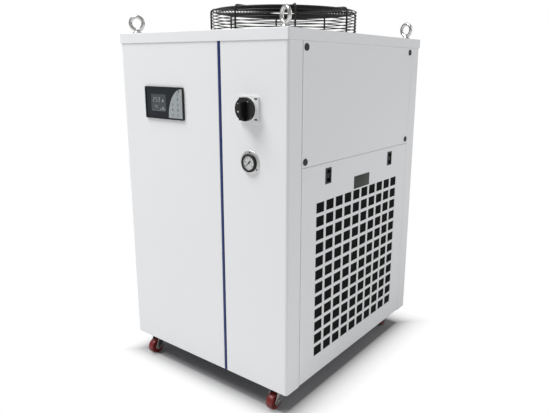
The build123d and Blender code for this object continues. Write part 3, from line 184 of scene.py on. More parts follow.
def wireCoat(name, colour):
    f = Finish(name, Metallic=0.0, Specular_IOR_Level=0.5)
    dust = f.noise(30, 4)
    bead = f.noise(700, 2)
    f.feed("Base Color", f.blend(dust, colour, shade(colour, 1.9)))
    f.feed("Roughness", 0.34 + dust * 0.18)
    f.bump(bead, 0.12, 0.0003)
    return f.material


def urethane(name, colour, dirtColour):
    f = Finish(name, Metallic=0.0, Specular_IOR_Level=0.5)
    cloud = f.noise(90, 4)
    dirt = ((f.noise(240, 5, None, 0.7) - 0.55) * 7).clamped()  # picked up from the floor
    tread = f.blend(cloud, shade(colour, 0.8), shade(colour, 1.15))
    f.feed("Base Color", f.blend(dirt * 0.55, tread, dirtColour))
    f.feed("Roughness", 0.34 + dirt * 0.35)
    f.bump(f.noise(900, 3), 0.25, 0.0004)
    return f.material


def meshCloth(name, look):
    f = Finish(name, Metallic=0.0, Specular_IOR_Level=0.08)
    weave = f.wave(look["pitch"], "Y") * f.wave(look["pitch"], "Z")
    cloud = f.noise(9, 3)
    # the darker colour in the weave's openings is painted shade
    f.feed("Base Color", f.blend(weave * cloud, look["thread"], look["holeShade"]))
    f.feed("Roughness", 0.8 - cloud * 0.15)
    f.bump(weave, 0.5, 0.0006)
    return f.material


def finStack(name, look):
    f = Finish(name, Metallic=1.0)
    fins = f.wave(look["pitch"], "Y")
    cloud = f.noise(16, 4)
    # the darker stripes between the fins are painted shade
    f.feed("Base Color", f.blend(fins, look["gapShade"], look["colour"]))
    f.feed("Roughness", 0.35 + cloud * 0.25)
    f.bump(fins, 0.8, 0.0012)
    return f.material


def dialPaper(name, colour):
    f = Finish(name, Metallic=0.0, Specular_IOR_Level=0.4)
    cloud = f.noise(60, 3)
    f.feed("Base Color", f.blend(cloud, shade(colour, 0.97), colour))
    f.feed("Roughness", 0.45 + cloud * 0.1)
    f.bump(f.noise(1600, 2), 0.04, 0.0002)
    return f.material


def liquidDisplay(name, look):
    f = Finish(name, Metallic=0.0, Specular_IOR_Level=0.6)
    cells = (f.wave(look["cell"], "X") * f.wave(look["cell"], "Z")) ** 0.5
    cloud = f.noise(26, 2)
    f.feed("Base Color", f.blend(cells * 0.5 + cloud * 0.3, look["colour"], look["light"]))
    f.feed("Roughness", 0.16 + cloud * 0.08)
    f.bump(cells, 0.05, 0.0002)
    return f.material


def glazing(name, look):
    f = Finish(name, Metallic=0.0, IOR=1.45, Transmission_Weight=1.0)
    smear = f.noise(70, 4)
    f.feed("Base Color", f.blend(smear, look["colour"], shade(look["colour"], 1.02)))
    f.feed("Roughness", smear * 0.06 + 0.01)
    f.bump(smear, 0.02, 0.0002)
    return f.material


def threaded(name, colour, pitch, letter):
    f = Finish(name, Metallic=1.0)
    turns = f.wave(pitch, letter)  # the thread's crests, along one axis
    cloud = f.noise(50, 4)
    f.feed("Base Color", f.blend(cloud, shade(colour, 0.8), shade(colour, 1.1)))
    f.feed("Roughness", 0.24 + cloud * 0.2)
    f.bump(turns, 0.35, 0.0008)
    return f.material


cabinetLook = {
    "colour": (0.80, 0.81, 0.825),
    "roughness": 0.36,
    "peel": 620,
    "peelStrength": 0.09,
    "scuffs": 0.05,
    "grime": 0.16,
    "grimeTop": 0.16,
    "grimeColour": (0.45, 0.43, 0.40),
}
whiteCoat = powderCoat("whiteCoat", cabinetLook)
navyPlastic = plastic("navyPlastic", (0.008, 0.022, 0.120), roughness=0.34, grain=900, strength=0.05, sheen=0.35)
zincSheet = plated("zincSheet", (0.62, 0.63, 0.64), roughness=0.34, scale=26, strength=0.06)
blackPlastic = plastic("blackPlastic", (0.006, 0.0065, 0.007), roughness=0.42, grain=1400, strength=0.12, sheen=0.35)
knobPlastic = plastic("knobPlastic", (0.0022, 0.0022, 0.0026), roughness=0.28, grain=900, strength=0.08, sheen=0.4)
whitePlastic = plastic("whitePlastic", (0.82, 0.83, 0.83), roughness=0.36, grain=1500, strength=0.05)
slatePlastic = plastic("slatePlastic", (0.0045, 0.008, 0.013), roughness=0.4, grain=1600, strength=0.06, sheen=0.3)
membraneGrey = plastic("membraneGrey", (0.33, 0.36, 0.37), roughness=0.5, grain=1800, strength=0.1)
darkInk = plastic("darkInk", (0.03, 0.032, 0.035), roughness=0.5)
paleInk = plastic("paleInk", (0.36, 0.37, 0.39), roughness=0.4)
whiteInk = plastic("whiteInk", (0.85, 0.85, 0.85), roughness=0.4)
silverPlate = plated("silverPlate", (0.66, 0.66, 0.65), roughness=0.3, grain=(1, 1, 6), scale=90, strength=0.05)
plateSteel = plated("plateSteel", (0.055, 0.062, 0.056), roughness=0.4, grain=(1, 9, 1), scale=70, strength=0.06)
brightSteel = plated("brightSteel", (0.62, 0.62, 0.61), roughness=0.14, scale=140, strength=0.16)
forkSteel = plated("forkSteel", (0.36, 0.36, 0.35), roughness=0.2, scale=160, strength=0.2)
blackCoat = wireCoat("blackCoat", (0.004, 0.004, 0.0045))
motorPaint = wireCoat("motorPaint", (0.022, 0.023, 0.025))
bladePlastic = plastic("bladePlastic", (0.02, 0.021, 0.023), roughness=0.38)
blackRubber = plastic("blackRubber", (0.015, 0.015, 0.015), roughness=0.7, grain=800, strength=0.2, sheen=0.3)
# the hole colour is painted shade in the weave's openings
gauzeLook = {"pitch": 0.0022, "thread": (0.0022, 0.0022, 0.0026), "holeShade": (0.0008, 0.0008, 0.001)}
gauzeCloth = meshCloth("gauzeCloth", gauzeLook)
# the gap colour is painted shade between the fins
finLook = {"pitch": 0.0024, "colour": (0.62, 0.63, 0.64), "gapShade": (0.09, 0.09, 0.1)}
finMetal = finStack("finMetal", finLook)
stainless = plated("stainless", (0.66, 0.66, 0.65), roughness=0.22, grain=(1, 1, 8), scale=60, strength=0.05)
copperTube = plated("copperTube", (0.72, 0.36, 0.22), roughness=0.24)
tankPlastic = plastic("tankPlastic", (0.72, 0.76, 0.74), roughness=0.36)
pumpPaint = powderCoat("pumpPaint", {**cabinetLook, "colour": (0.05, 0.09, 0.14), "grime": 0.0})
brassTurned = threaded("brassTurned", (0.66, 0.48, 0.22), pitch=0.0023, letter="Y")
redSleeve = plastic("redSleeve", (0.42, 0.02, 0.015), roughness=0.34)
relayGrey = plastic("relayGrey", (0.12, 0.125, 0.13), roughness=0.45)
dialWhite = dialPaper("dialWhite", (0.86, 0.86, 0.85))
lensGlass = glazing("lensGlass", {"colour": (0.96, 0.97, 0.97)})
wheelRed = urethane("wheelRed", (0.17, 0.009, 0.008), dirtColour=(0.06, 0.045, 0.04))
displayLook = {"cell": 0.0011, "colour": (0.024, 0.030, 0.037), "light": (0.046, 0.053, 0.060)}
displayGrey = liquidDisplay("displayGrey", displayLook)

finishOf = {
    whiteCoat: ("front_left_panel", "front_right_panel", "rear_panel", "right_upper_panel", "left_upper_panel",
                "right_filter_panel", "left_lower_panel", "top_cover"),
    navyPlastic: ("trim_strip",),
    zincSheet: ("base_tray", "frame_posts", "frame_rails", "fan_bracket", "electric_plate", "caster_plates"),
    blackPlastic: ("latch_frames", "latch_front", "latch_rear", "screw_caps", "controller_case", "cable_gland",
                   "fill_neck", "fill_cap"),
    slatePlastic: ("controller_face",),
    displayGrey: ("display_window",),
    membraneGrey: ("keypad",),
    whitePlastic: ("switch_body",),
    knobPlastic: ("switch_knob",),
    silverPlate: ("gauge_case",),
    dialWhite: ("gauge_dial",),
    darkInk: ("gauge_pointer",),
    lensGlass: ("gauge_lens",),
    gauzeCloth: ("filter_gauze",),
    motorPaint: ("fan_motor", "compressor"),
    bladePlastic: ("fan_impeller",),
    blackRubber: ("compressor_feet", "water_hoses"),
    finMetal: ("condenser",),
    stainless: ("evaporator",),
    copperTube: ("filter_drier", "refrigerant_pipes"),
    tankPlastic: ("water_tank",),
    pumpPaint: ("water_pump",),
    relayGrey: ("contactors",),
    brassTurned: ("water_ports", "drain_valve"),
    redSleeve: ("drain_handle",),
}
for material, names in finishOf.items():
    for name in names:
        nodes[name].data.materials.clear()
        nodes[name].data.materials.append(material)
print("finishes made:", len(bpy.data.materials))


# mesh helpers
def piece(name, bm, material, body="cabinet", sharp=38):
    bmesh.ops.recalc_face_normals(bm, faces=bm.faces)
    mesh = bpy.data.meshes.new(name)
    bm.to_mesh(mesh)
    bm.free()
    mesh.materials.append(material)
    mesh.shade_smooth()
    mesh.set_sharp_from_angle(angle=math.radians(sharp))
    made = bpy.data.objects.new(name, mesh)
    bpy.context.collection.objects.link(made)
    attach(made, body)
    return made


def ringBetween(bm, first, second):
    count = len(first)
    for i in range(count):
        bm.faces.new((first[i], first[(i + 1) % count], second[(i + 1) % count], second[i]))


def skin(bm, rings, closed):  # joins the rings, and caps the ends unless they meet
    for first, second in zip(rings, rings[1:]):
        ringBetween(bm, first, second)
    if closed:
        ringBetween(bm, rings[-1], rings[0])
    else:
        bm.faces.new(rings[0])
        bm.faces.new(rings[-1])


def lathe(bm, profile, origin, axis=(0, 0, 1), steps=48, closed=False):
    turn = Vector(axis).to_track_quat("Z", "Y").to_matrix()
    rings = []
    for radius, height in profile:
        ring = []
        for i in range(steps):
            a = 2 * math.pi * i / steps
            spoke = Vector((radius * math.cos(a), radius * math.sin(a), height))
            ring.append(bm.verts.new(Vector(origin) + turn @ spoke))
        rings.append(ring)
    skin(bm, rings, closed)


def wire(bm, path, radius, sides=10, closed=False):
    path = [Vector(p) for p in path]
    count = len(path)
    side = None
    rings = []
    for i, here in enumerate(path):
        ahead = path[(i + 1) % count] if closed or i < count - 1 else here
        behind = path[i - 1] if closed or i > 0 else here
        along = (ahead - behind).normalized()
        if side is None:
            side = along.cross(up if abs(along.z) < 0.9 else Vector((1, 0, 0))).normalized()
        side = (side - along * side.dot(along)).normalized()  # carried along, so the wire doesn't twist
        other = along.cross(side)
        ring = []
        for k in range(sides):
            a = 2 * math.pi * k / sides
            ring.append(bm.verts.new(here + radius * (math.cos(a) * side + math.sin(a) * other)))
        rings.append(ring)
    skin(bm, rings, closed)


def circle(centre, radius, across, along, steps=72):
    centre, across, along = Vector(centre), Vector(across), Vector(along)
    turns = [2 * math.pi * i / steps for i in range(steps)]
    return [centre + radius * (math.cos(a) * across + math.sin(a) * along) for a in turns]


def roundedPath(points, radius, steps=6):
    path = [Vector(points[0])]
    for before, corner, after in zip(points, points[1:], points[2:]):
        before, corner, after = Vector(before), Vector(corner), Vector(after)
        start = corner + (before - corner).normalized() * radius
        end = corner + (after - corner).normalized() * radius
        for i in range(steps + 1):
            t = i / steps
            path.append(start.lerp(corner, t).lerp(corner.lerp(end, t), t))
    path.append(Vector(points[-1]))
    return path


def slab(bm, low, high, bevel=0.0, segments=2):
    low, high = Vector(low), Vector(high)
    made = bmesh.ops.create_cube(bm, size=1)["verts"]
    for v in made:
        v.co = Vector((low[k] + (v.co[k] + 0.5) * (high[k] - low[k]) for k in range(3)))
    if bevel:
        edges = list({e for v in made for e in v.link_edges})
        bmesh.ops.bevel(bm, geom=edges, offset=bevel, segments=segments, affect="EDGES", profile=0.6)


def outlinePlate(bm, outline, thickness, placed, bevel=0.0):
    bottom = [bm.verts.new(placed @ Vector((u, v, 0))) for u, v in outline]
    top = [bm.verts.new(placed @ Vector((u, v, thickness))) for u, v in outline]
    ringBetween(bm, bottom, top)
    bm.faces.new(bottom)
    face = bm.faces.new(top)
    if bevel:
        bmesh.ops.bevel(bm, geom=list(face.edges), offset=bevel, segments=2, affect="EDGES", profile=0.6)


def facing(origin, right, upward):
    right, upward = Vector(right), Vector(upward)
    out = right.cross(upward)
    return Matrix.Translation(Vector(origin)) @ Matrix((right, upward, out)).transposed().to_4x4()


def onFront(x, z, proud=0.0):
    return facing((x, frontFace - proud, z), (1, 0, 0), (0, 0, 1))


def frontLathe(bm, profile, x, z, proud=0.0, steps=48, closed=False):
    lathe(bm, profile, (x, frontFace - proud, z), outward, steps, closed)


# wire cage over the fan
cage = {
    "centre": (0.0, 0.028),
    "base": 1.069,
    "height": 0.085,
    "radius": 0.2415,
    "rib": 0.0030,
    "wire": 0.0015,
    "bend": 0.013,
    "sideRings": 8,
    "sideLow": 0.0092,
    "sidePitch": 0.0097,
    "topRings": 18,
    "topStart": 0.003,
    "topPitch": 0.0098,
    "ringSteps": 96,
    "ribs": 8,
    "foot": 0.014,
    "footBend": 0.004,
    "hub": 0.052,
    "ribTuck": 0.006,
}


def makeCage(c):
    bm = bmesh.new()
    x, y = c["centre"]
    middle = Vector((x, y, 0))
    inset = 2 * c["rib"] + 0.6 * c["wire"]  # the rings are welded inside the ribs
    ringRadius = c["radius"] - inset
    ringTop = c["base"] + c["height"] - inset
    across, along = (1, 0, 0), (0, 1, 0)
    for i in range(c["sideRings"]):
        level = c["base"] + c["sideLow"] + i * c["sidePitch"]
        wire(bm, circle((x, y, level), ringRadius, across, along, c["ringSteps"]), c["wire"], 8, True)
    for i in range(c["topRings"]):
        radius = ringRadius - c["topStart"] - i * c["topPitch"]
        wire(bm, circle((x, y, ringTop), radius, across, along, c["ringSteps"]), c["wire"], 8, True)
    low = up * (c["base"] + c["rib"])
    high = up * (c["base"] + c["height"] - c["rib"])
    for i in range(c["ribs"]):
        a = 2 * math.pi * i / c["ribs"]
        out = Vector((math.cos(a), math.sin(a), 0))
        footEnd = middle + out * (c["radius"] + c["foot"]) + low
        heel = middle + out * (c["radius"] - c["rib"]) + low
        shoulder = middle + out * (c["radius"] - c["rib"]) + high
        inner = middle + out * (c["hub"] - c["ribTuck"]) + high
        halfway = heel.lerp(shoulder, 0.5)
        path = roundedPath([footEnd, heel, halfway], c["footBend"])[:-1]
        path += roundedPath([halfway, shoulder, inner], c["bend"])
        wire(bm, path, c["rib"], 10)
    hub = c["hub"]
    disc = [(hub - 0.004, -0.0028), (hub, -0.0022), (hub, -0.0008), (hub - 0.003, 0.0), (0.012, 0.0),
            (0.0115, -0.0006)]
    lathe(bm, disc, (x, y, c["base"] + c["height"] - 0.0002), steps=64)
    made = piece("cageWires", bm, blackCoat)
    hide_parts("fan_guard")


makeCage(cage)
print("cage made")


# lifting eyes
eyes = {
    "x": 0.2883,
    "y": 0.3418,
    "base": 1.069,
    "ringCentre": 0.031,
    "ringRadius": 0.0195,
    "section": 0.0055,
    "turns": {(-1, -1): 36, (1, -1): -22, (1, 1): -14, (-1, 1): 20},  # degrees at each corner
    "profile": ((0.0, -0.024), (0.0058, -0.024), (0.006, -0.0235), (0.006, 0.0), (0.0128, 0.0), (0.013, 0.0006),
                (0.013, 0.0048), (0.0124, 0.0056), (0.0094, 0.0066), (0.0082, 0.0086), (0.0078, 0.0112),
                (0.007, 0.013)),
}


def makeEyes(e):
    bm = bmesh.new()
    for (sideX, sideY), turn in e["turns"].items():
        at = Vector((sideX * e["x"], sideY * e["y"], e["base"]))
        a = math.radians(turn)
        across = Vector((math.cos(a), math.sin(a), 0))
        wire(bm, circle(at + up * e["ringCentre"], e["ringRadius"], across, up, 56), e["section"], 16, True)
        lathe(bm, e["profile"], at, steps=40)
    made = piece("liftingEyes", bm, brightSteel, sharp=30)
    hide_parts("eye_bolts")


makeEyes(eyes)
print("eyes made")


# casters
caster = {
    "places": {"fl": (-0.263, -0.333), "fr": (0.263, -0.333), "rl": (-0.263, 0.333), "rr": (0.263, 0.333)},
    "trail": 0.024,
    "wheelRadius": 0.025,
    "wheelWidth": 0.023,
    "bore": 0.00405,
    "bearing": 0.0084,
    "cheekIn": 0.0130,
    "cheekThick": 0.0022,
    "axleEnd": 0.0100,
    "crownTop": 0.0611,
    "crownLow": 0.0586,
    "crownRadius": 0.020,
    "crownHalf": 0.0152,
    "borderRadius": 0.0011,
}


def makeWheel(c, corner, x, y):
    bm = bmesh.new()
    r, w = c["wheelRadius"], c["wheelWidth"] / 2
    half = [(c["bore"], w), (0.0088, w), (0.0092, w - 0.0004), (0.0096, w - 0.0022), (0.0175, w - 0.0026),
            (0.0186, w - 0.0012), (r - 0.0034, w - 0.0004), (r - 0.0014, w - 0.0012), (r - 0.0004, w - 0.0030),
            (r, w - 0.0062)]  # bore, hub, dished web, rim and tread
    profile = half + [(radius, -height) for radius, height in reversed(half)]
    lathe(bm, profile, (x, y, r), sideways, 72, True)
    made = piece(f"wheelTread.{corner}", bm, wheelRed, f"wheel_{corner}")
    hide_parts(f"caster_wheel_{corner}")
    bm = bmesh.new()
    bearing = c["bearing"]
    ring = [(0.0042, 0.0), (bearing, 0.0), (bearing, 0.0005), (0.0078, 0.0007), (0.0062, 0.0004), (0.0048, 0.0007),
            (0.0042, 0.0006)]
    for side in (-1, 1):
        lathe(bm, ring, (x + side * w, y, r), (side, 0, 0), 40, True)
    piece(f"wheelBearing.{corner}", bm, forkSteel, f"wheel_{corner}")


def makeFork(c, corner, x, y):
    bm = bmesh.new()
    axle = Vector((x, y - c["trail"], c["wheelRadius"]))
    outline = [(0.020, c["crownTop"] - 0.0005), (-0.020, c["crownTop"] - 0.0005)]
    for i in range(9):
        a = math.radians(172 + i * 19.5)  # round the axle's end
        outline.append((-c["trail"] + c["axleEnd"] * math.cos(a), c["wheelRadius"] + c["axleEnd"] * math.sin(a)))
    outline.append((0.0185, c["crownLow"] - 0.006))
    washer = [(0.0, 0.0), (0.0082, 0.0), (0.0084, 0.0004), (0.0084, 0.0011), (0.0, 0.0012)]
    nut = [(0.0, 0.0), (0.0068, 0.0), (0.0072, 0.0006), (0.0072, 0.0026), (0.0064, 0.0034), (0.0, 0.0035)]
    for side in (-1, 1):
        inner = x + side * c["cheekIn"]
        outer = x + side * (c["cheekIn"] + c["cheekThick"])
        placed = facing((inner if side > 0 else inner - c["cheekThick"], y, 0), (0, 1, 0), (0, 0, 1))
        outlinePlate(bm, outline, c["cheekThick"], placed, 0.0005)
        rim = [Vector((outer - side * 0.0004, y + u * 0.94 - 0.0012, v * 0.975 + 0.0008)) for u, v in outline[1:]]
        wire(bm, rim, c["borderRadius"], 8)  # the rolled edge
        lathe(bm, washer, (outer, axle.y, axle.z), (side, 0, 0), 32)
        lathe(bm, nut, (outer + side * 0.0005, axle.y, axle.z), (side, 0, 0), 6)
    crown = []
    for i in range(24):
        a = 2 * math.pi * i / 24
        width = 0.0208 * math.cos(a)
        crown.append((max(-c["crownHalf"], min(c["crownHalf"], width)), c["crownRadius"] * math.sin(a)))
    placed = facing((x, y, c["crownLow"]), (1, 0, 0), (0, 1, 0))
    outlinePlate(bm, crown, c["crownTop"] - c["crownLow"], placed, 0.0006)
    lathe(bm, [(0.0, -0.0135), (0.0040, -0.0135), (0.0040, 0.0135), (0.0, 0.0135)], axle, sideways, 32)
    race = [(0.0145, 0.0), (0.0186, 0.0), (0.0186, -0.0016), (0.0172, -0.0024), (0.0145, -0.0024)]
    lathe(bm, race, (x, y, c["crownTop"] + 0.0003), steps=40, closed=True)
    made = piece(f"forkPlates.{corner}", bm, forkSteel, f"swivel_{corner}")
    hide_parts(f"caster_fork_{corner}")


for corner, (x, y) in caster["places"].items():
    makeWheel(caster, corner, x, y - caster["trail"])
    makeFork(caster, corner, x, y)
print("casters made")


# controller: figures on the display and marks on the keypad
readout = {
    "x": -0.1575,
    "z": 0.8675,
    "proud": 0.0034,
    "digitHeight": 0.0115,
    "digitGap": 0.0055,
    "digits": ("253", "180"),
    "rowScales": (1.0, 0.62),
    "rowPitch": 0.020,
    "segment": 0.0015,
}
segmentsOf = {"0": "abcdef", "1": "bc", "2": "abged", "3": "abgcd", "5": "afgcd", "8": "abcdefg"}
segmentPlaces = {  # across and up in half digits, and whether the stroke lies flat
    "a": (0, 1, True), "g": (0, 0, True), "d": (0, -1, True),
    "f": (-1, 0.5, False), "b": (1, 0.5, False), "e": (-1, -0.5, False), "c": (1, -0.5, False),
}


def bar(bm, x, z, width, height, proud, thickness=0.00025):
    back = frontFace - proud
    slab(bm, (x - width / 2, back - thickness, z - height / 2), (x + width / 2, back, z + height / 2))


def makeReadout(r):
    bm = bmesh.new()
    h, s = r["digitHeight"], r["segment"]
    w = h * 0.55
    for row, (text, scale) in enumerate(zip(r["digits"], r["rowScales"])):
        base = r["z"] + 0.009 - row * r["rowPitch"]
        for column, digit in enumerate(text):
            left = r["x"] - 0.020 + column * (w + r["digitGap"]) * scale
            for letter in segmentsOf[digit]:
                px, pz, flat = segmentPlaces[letter]
                width, height = (w - s, s) if flat else (s, h / 2 - s)
                x, z = left + px * w / 2 * scale, base + pz * h / 2 * scale
                bar(bm, x, z, width * scale, height * scale, r["proud"])
        bar(bm, r["x"] + 0.020, base - 0.003, 0.006, 0.006 * scale, r["proud"])
    for i in range(4):
        bar(bm, r["x"] + 0.008 + i * 0.0062, r["z"] - 0.0185, 0.0042, 0.0022, r["proud"])
    bar(bm, r["x"], r["z"] - 0.0225, 0.056, 0.0004, r["proud"])
    piece("readoutMarks", bm, paleInk)


makeReadout(readout)

keyMarks = {
    "x": -0.1323,
    "z": 0.8675,
    "columns": ((0.038, 3), (0.060, 5)),
    "low": -0.031,
    "pitch": 0.015,
    "proud": 0.0050,
    "barProud": 0.0045,
    "lamp": (0.0655, 0.0352),
    "lampProud": 0.0044,
}


def makeKeyMarks(k):
    bm = bmesh.new()
    dot = [(0.0, 0.0), (0.0017, 0.0), (0.0019, 0.0002), (0.0017, 0.0003), (0.0, 0.0003)]
    for offset, rows in k["columns"]:
        for row in range(rows):
            x, z = k["x"] + offset, k["z"] + k["low"] + row * k["pitch"]
            frontLathe(bm, dot, x, z, k["proud"], 20 if row % 2 else 3)  # round and three-sided by turns
            bar(bm, x, z - 0.0052, 0.0052, 0.0007, k["barProud"])
    piece("keyMarks", bm, darkInk)
    bm = bmesh.new()
    dome = [(0.0, 0.0), (0.0022, 0.0), (0.0022, 0.0006), (0.0012, 0.0012), (0.0, 0.0013)]
    frontLathe(bm, dome, k["x"] + k["lamp"][0], k["z"] + k["lamp"][1], k["lampProud"], 28)
    piece("keypadLamp", bm, darkInk)


makeKeyMarks(keyMarks)
print("controller marks made")


# switch: marks on the knob, screws in the plate, and black slabs in the plate's wells as painted shade
switch = {
    "x": 0.1995,
    "z": 0.868,
    "face": 0.024,
    "dot": (-0.019, -0.007),
    "markRadius": 0.0245,
    "markTurns": (55, 145),
    "well": 0.0265,
}


def makeSwitchMarks(s):
    bm = bmesh.new()
    dot = [(0.0, 0.0), (0.0021, 0.0), (0.0021, 0.0004), (0.0, 0.0005)]
    frontLathe(bm, dot, s["x"] + s["dot"][0], s["z"] + s["dot"][1], s["face"], 24)
    for turn in s["markTurns"]:
        a = math.radians(turn)
        x, z = s["x"] + s["markRadius"] * math.cos(a), s["z"] + s["markRadius"] * math.sin(a)
        bar(bm, x, z, 0.0030, 0.0012, s["face"], 0.0002)
    piece("knobMarks", bm, whiteInk, "knob")
    wells = [(s["x"] + sx * s["well"], s["z"] + sz * s["well"]) for sx in (-1, 1) for sz in (-1, 1)]
    head = [(0.0, 0.0), (0.0018, 0.0), (0.0018, 0.0008), (0.0014, 0.0012), (0.0006, 0.0012), (0.0, 0.0010)]
    bm = bmesh.new()
    for x, z in wells:
        frontLathe(bm, head, x, z, 0.0030, 20)
    piece("switchScrews", bm, blackCoat)
    # black slabs fill the plate's wells: painted shade in the recesses
    bm = bmesh.new()
    for x, z in wells:
        slab(bm, (x - 0.0049, frontFace - 0.0062, z - 0.0019), (x + 0.0049, frontFace - 0.0031, z + 0.0019), 0.0003)
    piece("switchWellShade", bm, knobPlastic)


makeSwitchMarks(switch)

# gauge: flange, black bezel, flange screws, and the dial's ticks and numbers
gauge = {
    "x": 0.199,
    "z": 0.7255,
    "flange": 0.033,
    "bezel": 0.025,
    "bezelHeight": 0.009,
    "window": 0.022,
    "lip": 0.0190,
    "dialFront": 0.0045,
    "screwRadius": 0.0285,
    "screwTurns": (90, 214, 326),
    "tickOut": 0.0178,
    "tickLong": 0.0036,
    "tickShort": 0.0020,
    "longThick": 0.00055,
    "shortThick": 0.0003,
    "ticks": 50,
    "longEvery": 10,
    "start": 225,
    "sweep": 270,
    "numbers": ("0", "2", "4", "6", "8", "10"),
    "numberRadius": 0.0112,
    "numberSize": 0.0046,
}


def makeGauge(g):
    x, z = g["x"], g["z"]
    flange, bezel, window, lip, front = g["flange"], g["bezel"], g["window"], g["lip"], g["bezelHeight"]
    bm = bmesh.new()
    rim = [(bezel - 0.001, 0.0), (flange - 0.0006, 0.0), (flange, 0.0004), (flange, 0.0010),
           (flange - 0.0006, 0.0015), (bezel + 0.0022, 0.0016), (bezel + 0.0014, 0.0022), (bezel - 0.001, 0.0022)]
    frontLathe(bm, rim, x, z, steps=96, closed=True)
    back = [(0.0, 0.0), (0.0234, 0.0), (0.0235, -0.0005), (0.0235, -0.0232), (0.0228, -0.024), (0.0, -0.024)]
    frontLathe(bm, back, x, z, steps=64)
    made = piece("gaugeFlange", bm, silverPlate)
    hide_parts("gauge_case")
    bm = bmesh.new()
    ring = [(window, 0.0030), (window, front - 0.0009), (lip, front - 0.0008), (lip, front - 0.0006),
            (window + 0.0006, front - 0.0002), (window + 0.0014, front), (bezel - 0.0010, front - 0.0002),
            (bezel - 0.0002, front - 0.0012), (bezel, 0.0016), (bezel, 0.0010), (window, 0.0010)]
    frontLathe(bm, ring, x, z, steps=96, closed=True)
    frontLathe(bm, [(0.0, 0.0), (window, 0.0), (window, 0.0034), (0.0, 0.0034)], x, z, steps=64)
    piece("gaugeBezel", bm, blackPlastic)
    bm = bmesh.new()
    head = [(0.0, 0.0), (0.0023, 0.0), (0.0023, 0.0005), (0.0018, 0.0012), (0.0008, 0.0014), (0.0, 0.0012)]
    for turn in g["screwTurns"]:
        a = math.radians(turn)
        frontLathe(bm, head, x + g["screwRadius"] * math.cos(a), z + g["screwRadius"] * math.sin(a), 0.0014, 24)
    piece("gaugeScrews", bm, blackCoat)
    makeDial(g)


def makeDial(g):
    def dialTurn(share):
        return math.radians(g["start"] - g["sweep"] * share)

    x, z, face = g["x"], g["z"], frontFace - g["dialFront"]
    bm = bmesh.new()
    for i in range(g["ticks"] + 1):
        a = dialTurn(i / g["ticks"])
        long = i % g["longEvery"] == 0
        inner = g["tickOut"] - (g["tickLong"] if long else g["tickShort"])
        thick = g["longThick"] if long else g["shortThick"]
        placed = facing((x, face, z), (math.cos(a), 0, math.sin(a)), (-math.sin(a), 0, math.cos(a)))
        tick = [(inner, -thick), (g["tickOut"], -thick), (g["tickOut"], thick), (inner, thick)]
        outlinePlate(bm, tick, 0.0001, placed)
    radius = g["tickOut"] + 0.0004
    turns = [dialTurn(i / 60) for i in range(61)]
    wire(bm, [(x + radius * math.cos(a), face, z + radius * math.sin(a)) for a in turns], 0.0002, 6)
    piece("dialTicks", bm, darkInk)
    for i, text in enumerate(g["numbers"]):
        a = dialTurn(i / (len(g["numbers"]) - 1))
        curve = bpy.data.curves.new(f"dialNumber.{text}", "FONT")
        curve.body = text
        curve.size = g["numberSize"]
        curve.align_x = "CENTER"
        curve.align_y = "CENTER"
        curve.extrude = 0.00004
        curve.materials.append(darkInk)
        drawn = bpy.data.objects.new(f"dialNumber.{text}", curve)
        drawn.matrix_world = onFront(x + g["numberRadius"] * math.cos(a), z + g["numberRadius"] * math.sin(a),
                                     g["dialFront"] + 0.00006)
        bpy.context.collection.objects.link(drawn)
        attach(drawn, "cabinet")


makeGauge(gauge)
print("switch and gauge made")


# right side: rivets, bare plate, latch ridges
rightSide = {
    "x": 0.325,
    "rivetY": 0.306,
    "rivetZ": 0.682,
    "rivetRadius": 0.0034,
    "plate": ((-0.0425, 0.6115), (0.0515, 0.6510)),
    "plateProud": 0.0008,
    "plateRivetInset": 0.004,
    "latchY": 0.188,
    "latchZ": 0.6772,
    "ridges": 4,
    "ridgeLow": -0.0048,
    "ridgePitch": 0.0032,
}


def makeRightSide(s):
    bm = bmesh.new()
    radius, skinX = s["rivetRadius"], s["x"] - 0.0002
    rivet = [(0.0, 0.0), (radius, 0.0), (radius * 0.92, 0.0006), (radius * 0.6, 0.0012), (0.0, 0.0014)]
    for side in (-1, 1):
        lathe(bm, rivet, (skinX, side * s["rivetY"], s["rivetZ"]), sideways, 28)
    piece("panelRivets", bm, whiteCoat)
    (y0, z0), (y1, z1) = s["plate"]
    plateFront = s["x"] + s["plateProud"]
    inset = s["plateRivetInset"]
    bm = bmesh.new()
    slab(bm, (skinX, y0, z0), (plateFront, y1, z1), 0.0004)
    for y in (y0 + inset, y1 - inset):
        for z in (z0 + inset, z1 - inset):
            lathe(bm, [(0.0, 0.0), (0.0014, 0.0), (0.0011, 0.0005), (0.0, 0.0007)], (plateFront, y, z), sideways, 16)
    piece("barePlate", bm, plateSteel)
    for side, body, place in ((-1, "front_latch", "front"), (1, "rear_latch", "rear")):
        middle = side * s["latchY"]
        bm = bmesh.new()
        for i in range(s["ridges"]):
            z = s["latchZ"] + s["ridgeLow"] + i * s["ridgePitch"]
            slab(bm, (s["x"] - 0.0009, middle - 0.0070, z - 0.0007), (s["x"], middle + 0.0070, z + 0.0007), 0.0003)
        piece(f"latchRidges.{place}", bm, blackPlastic, body)


makeRightSide(rightSide)
print("right side made")


# stage: floor, world, lamps, camera
stage = {
    "floorSize": 16,
    "floorColour": (0.93, 0.93, 0.93),
    # the next two entries paint a shadow on the floor below the cabinet, fading out past its edge
    "shadowPaintColour": (0.34, 0.34, 0.35),
    "shadowPaintEdge": 0.05,
    "fadeStart": -0.02,
    "fadeEnd": 0.09,
    "fadePower": 0.55,
    "halfWidth": 0.325,
    "halfDepth": 0.3775,
    "worldStrength": 0.38,
    "keyPower": 160,
    "keyFrom": (-1.3, -1.7, 4.2),
    "keySize": 2.2,
    "fillPower": 26,
    "fillFrom": (2.8, 2.0, 2.2),
    "fillSize": 2.0,
    "lampTarget": (0, 0, 0.6),
}


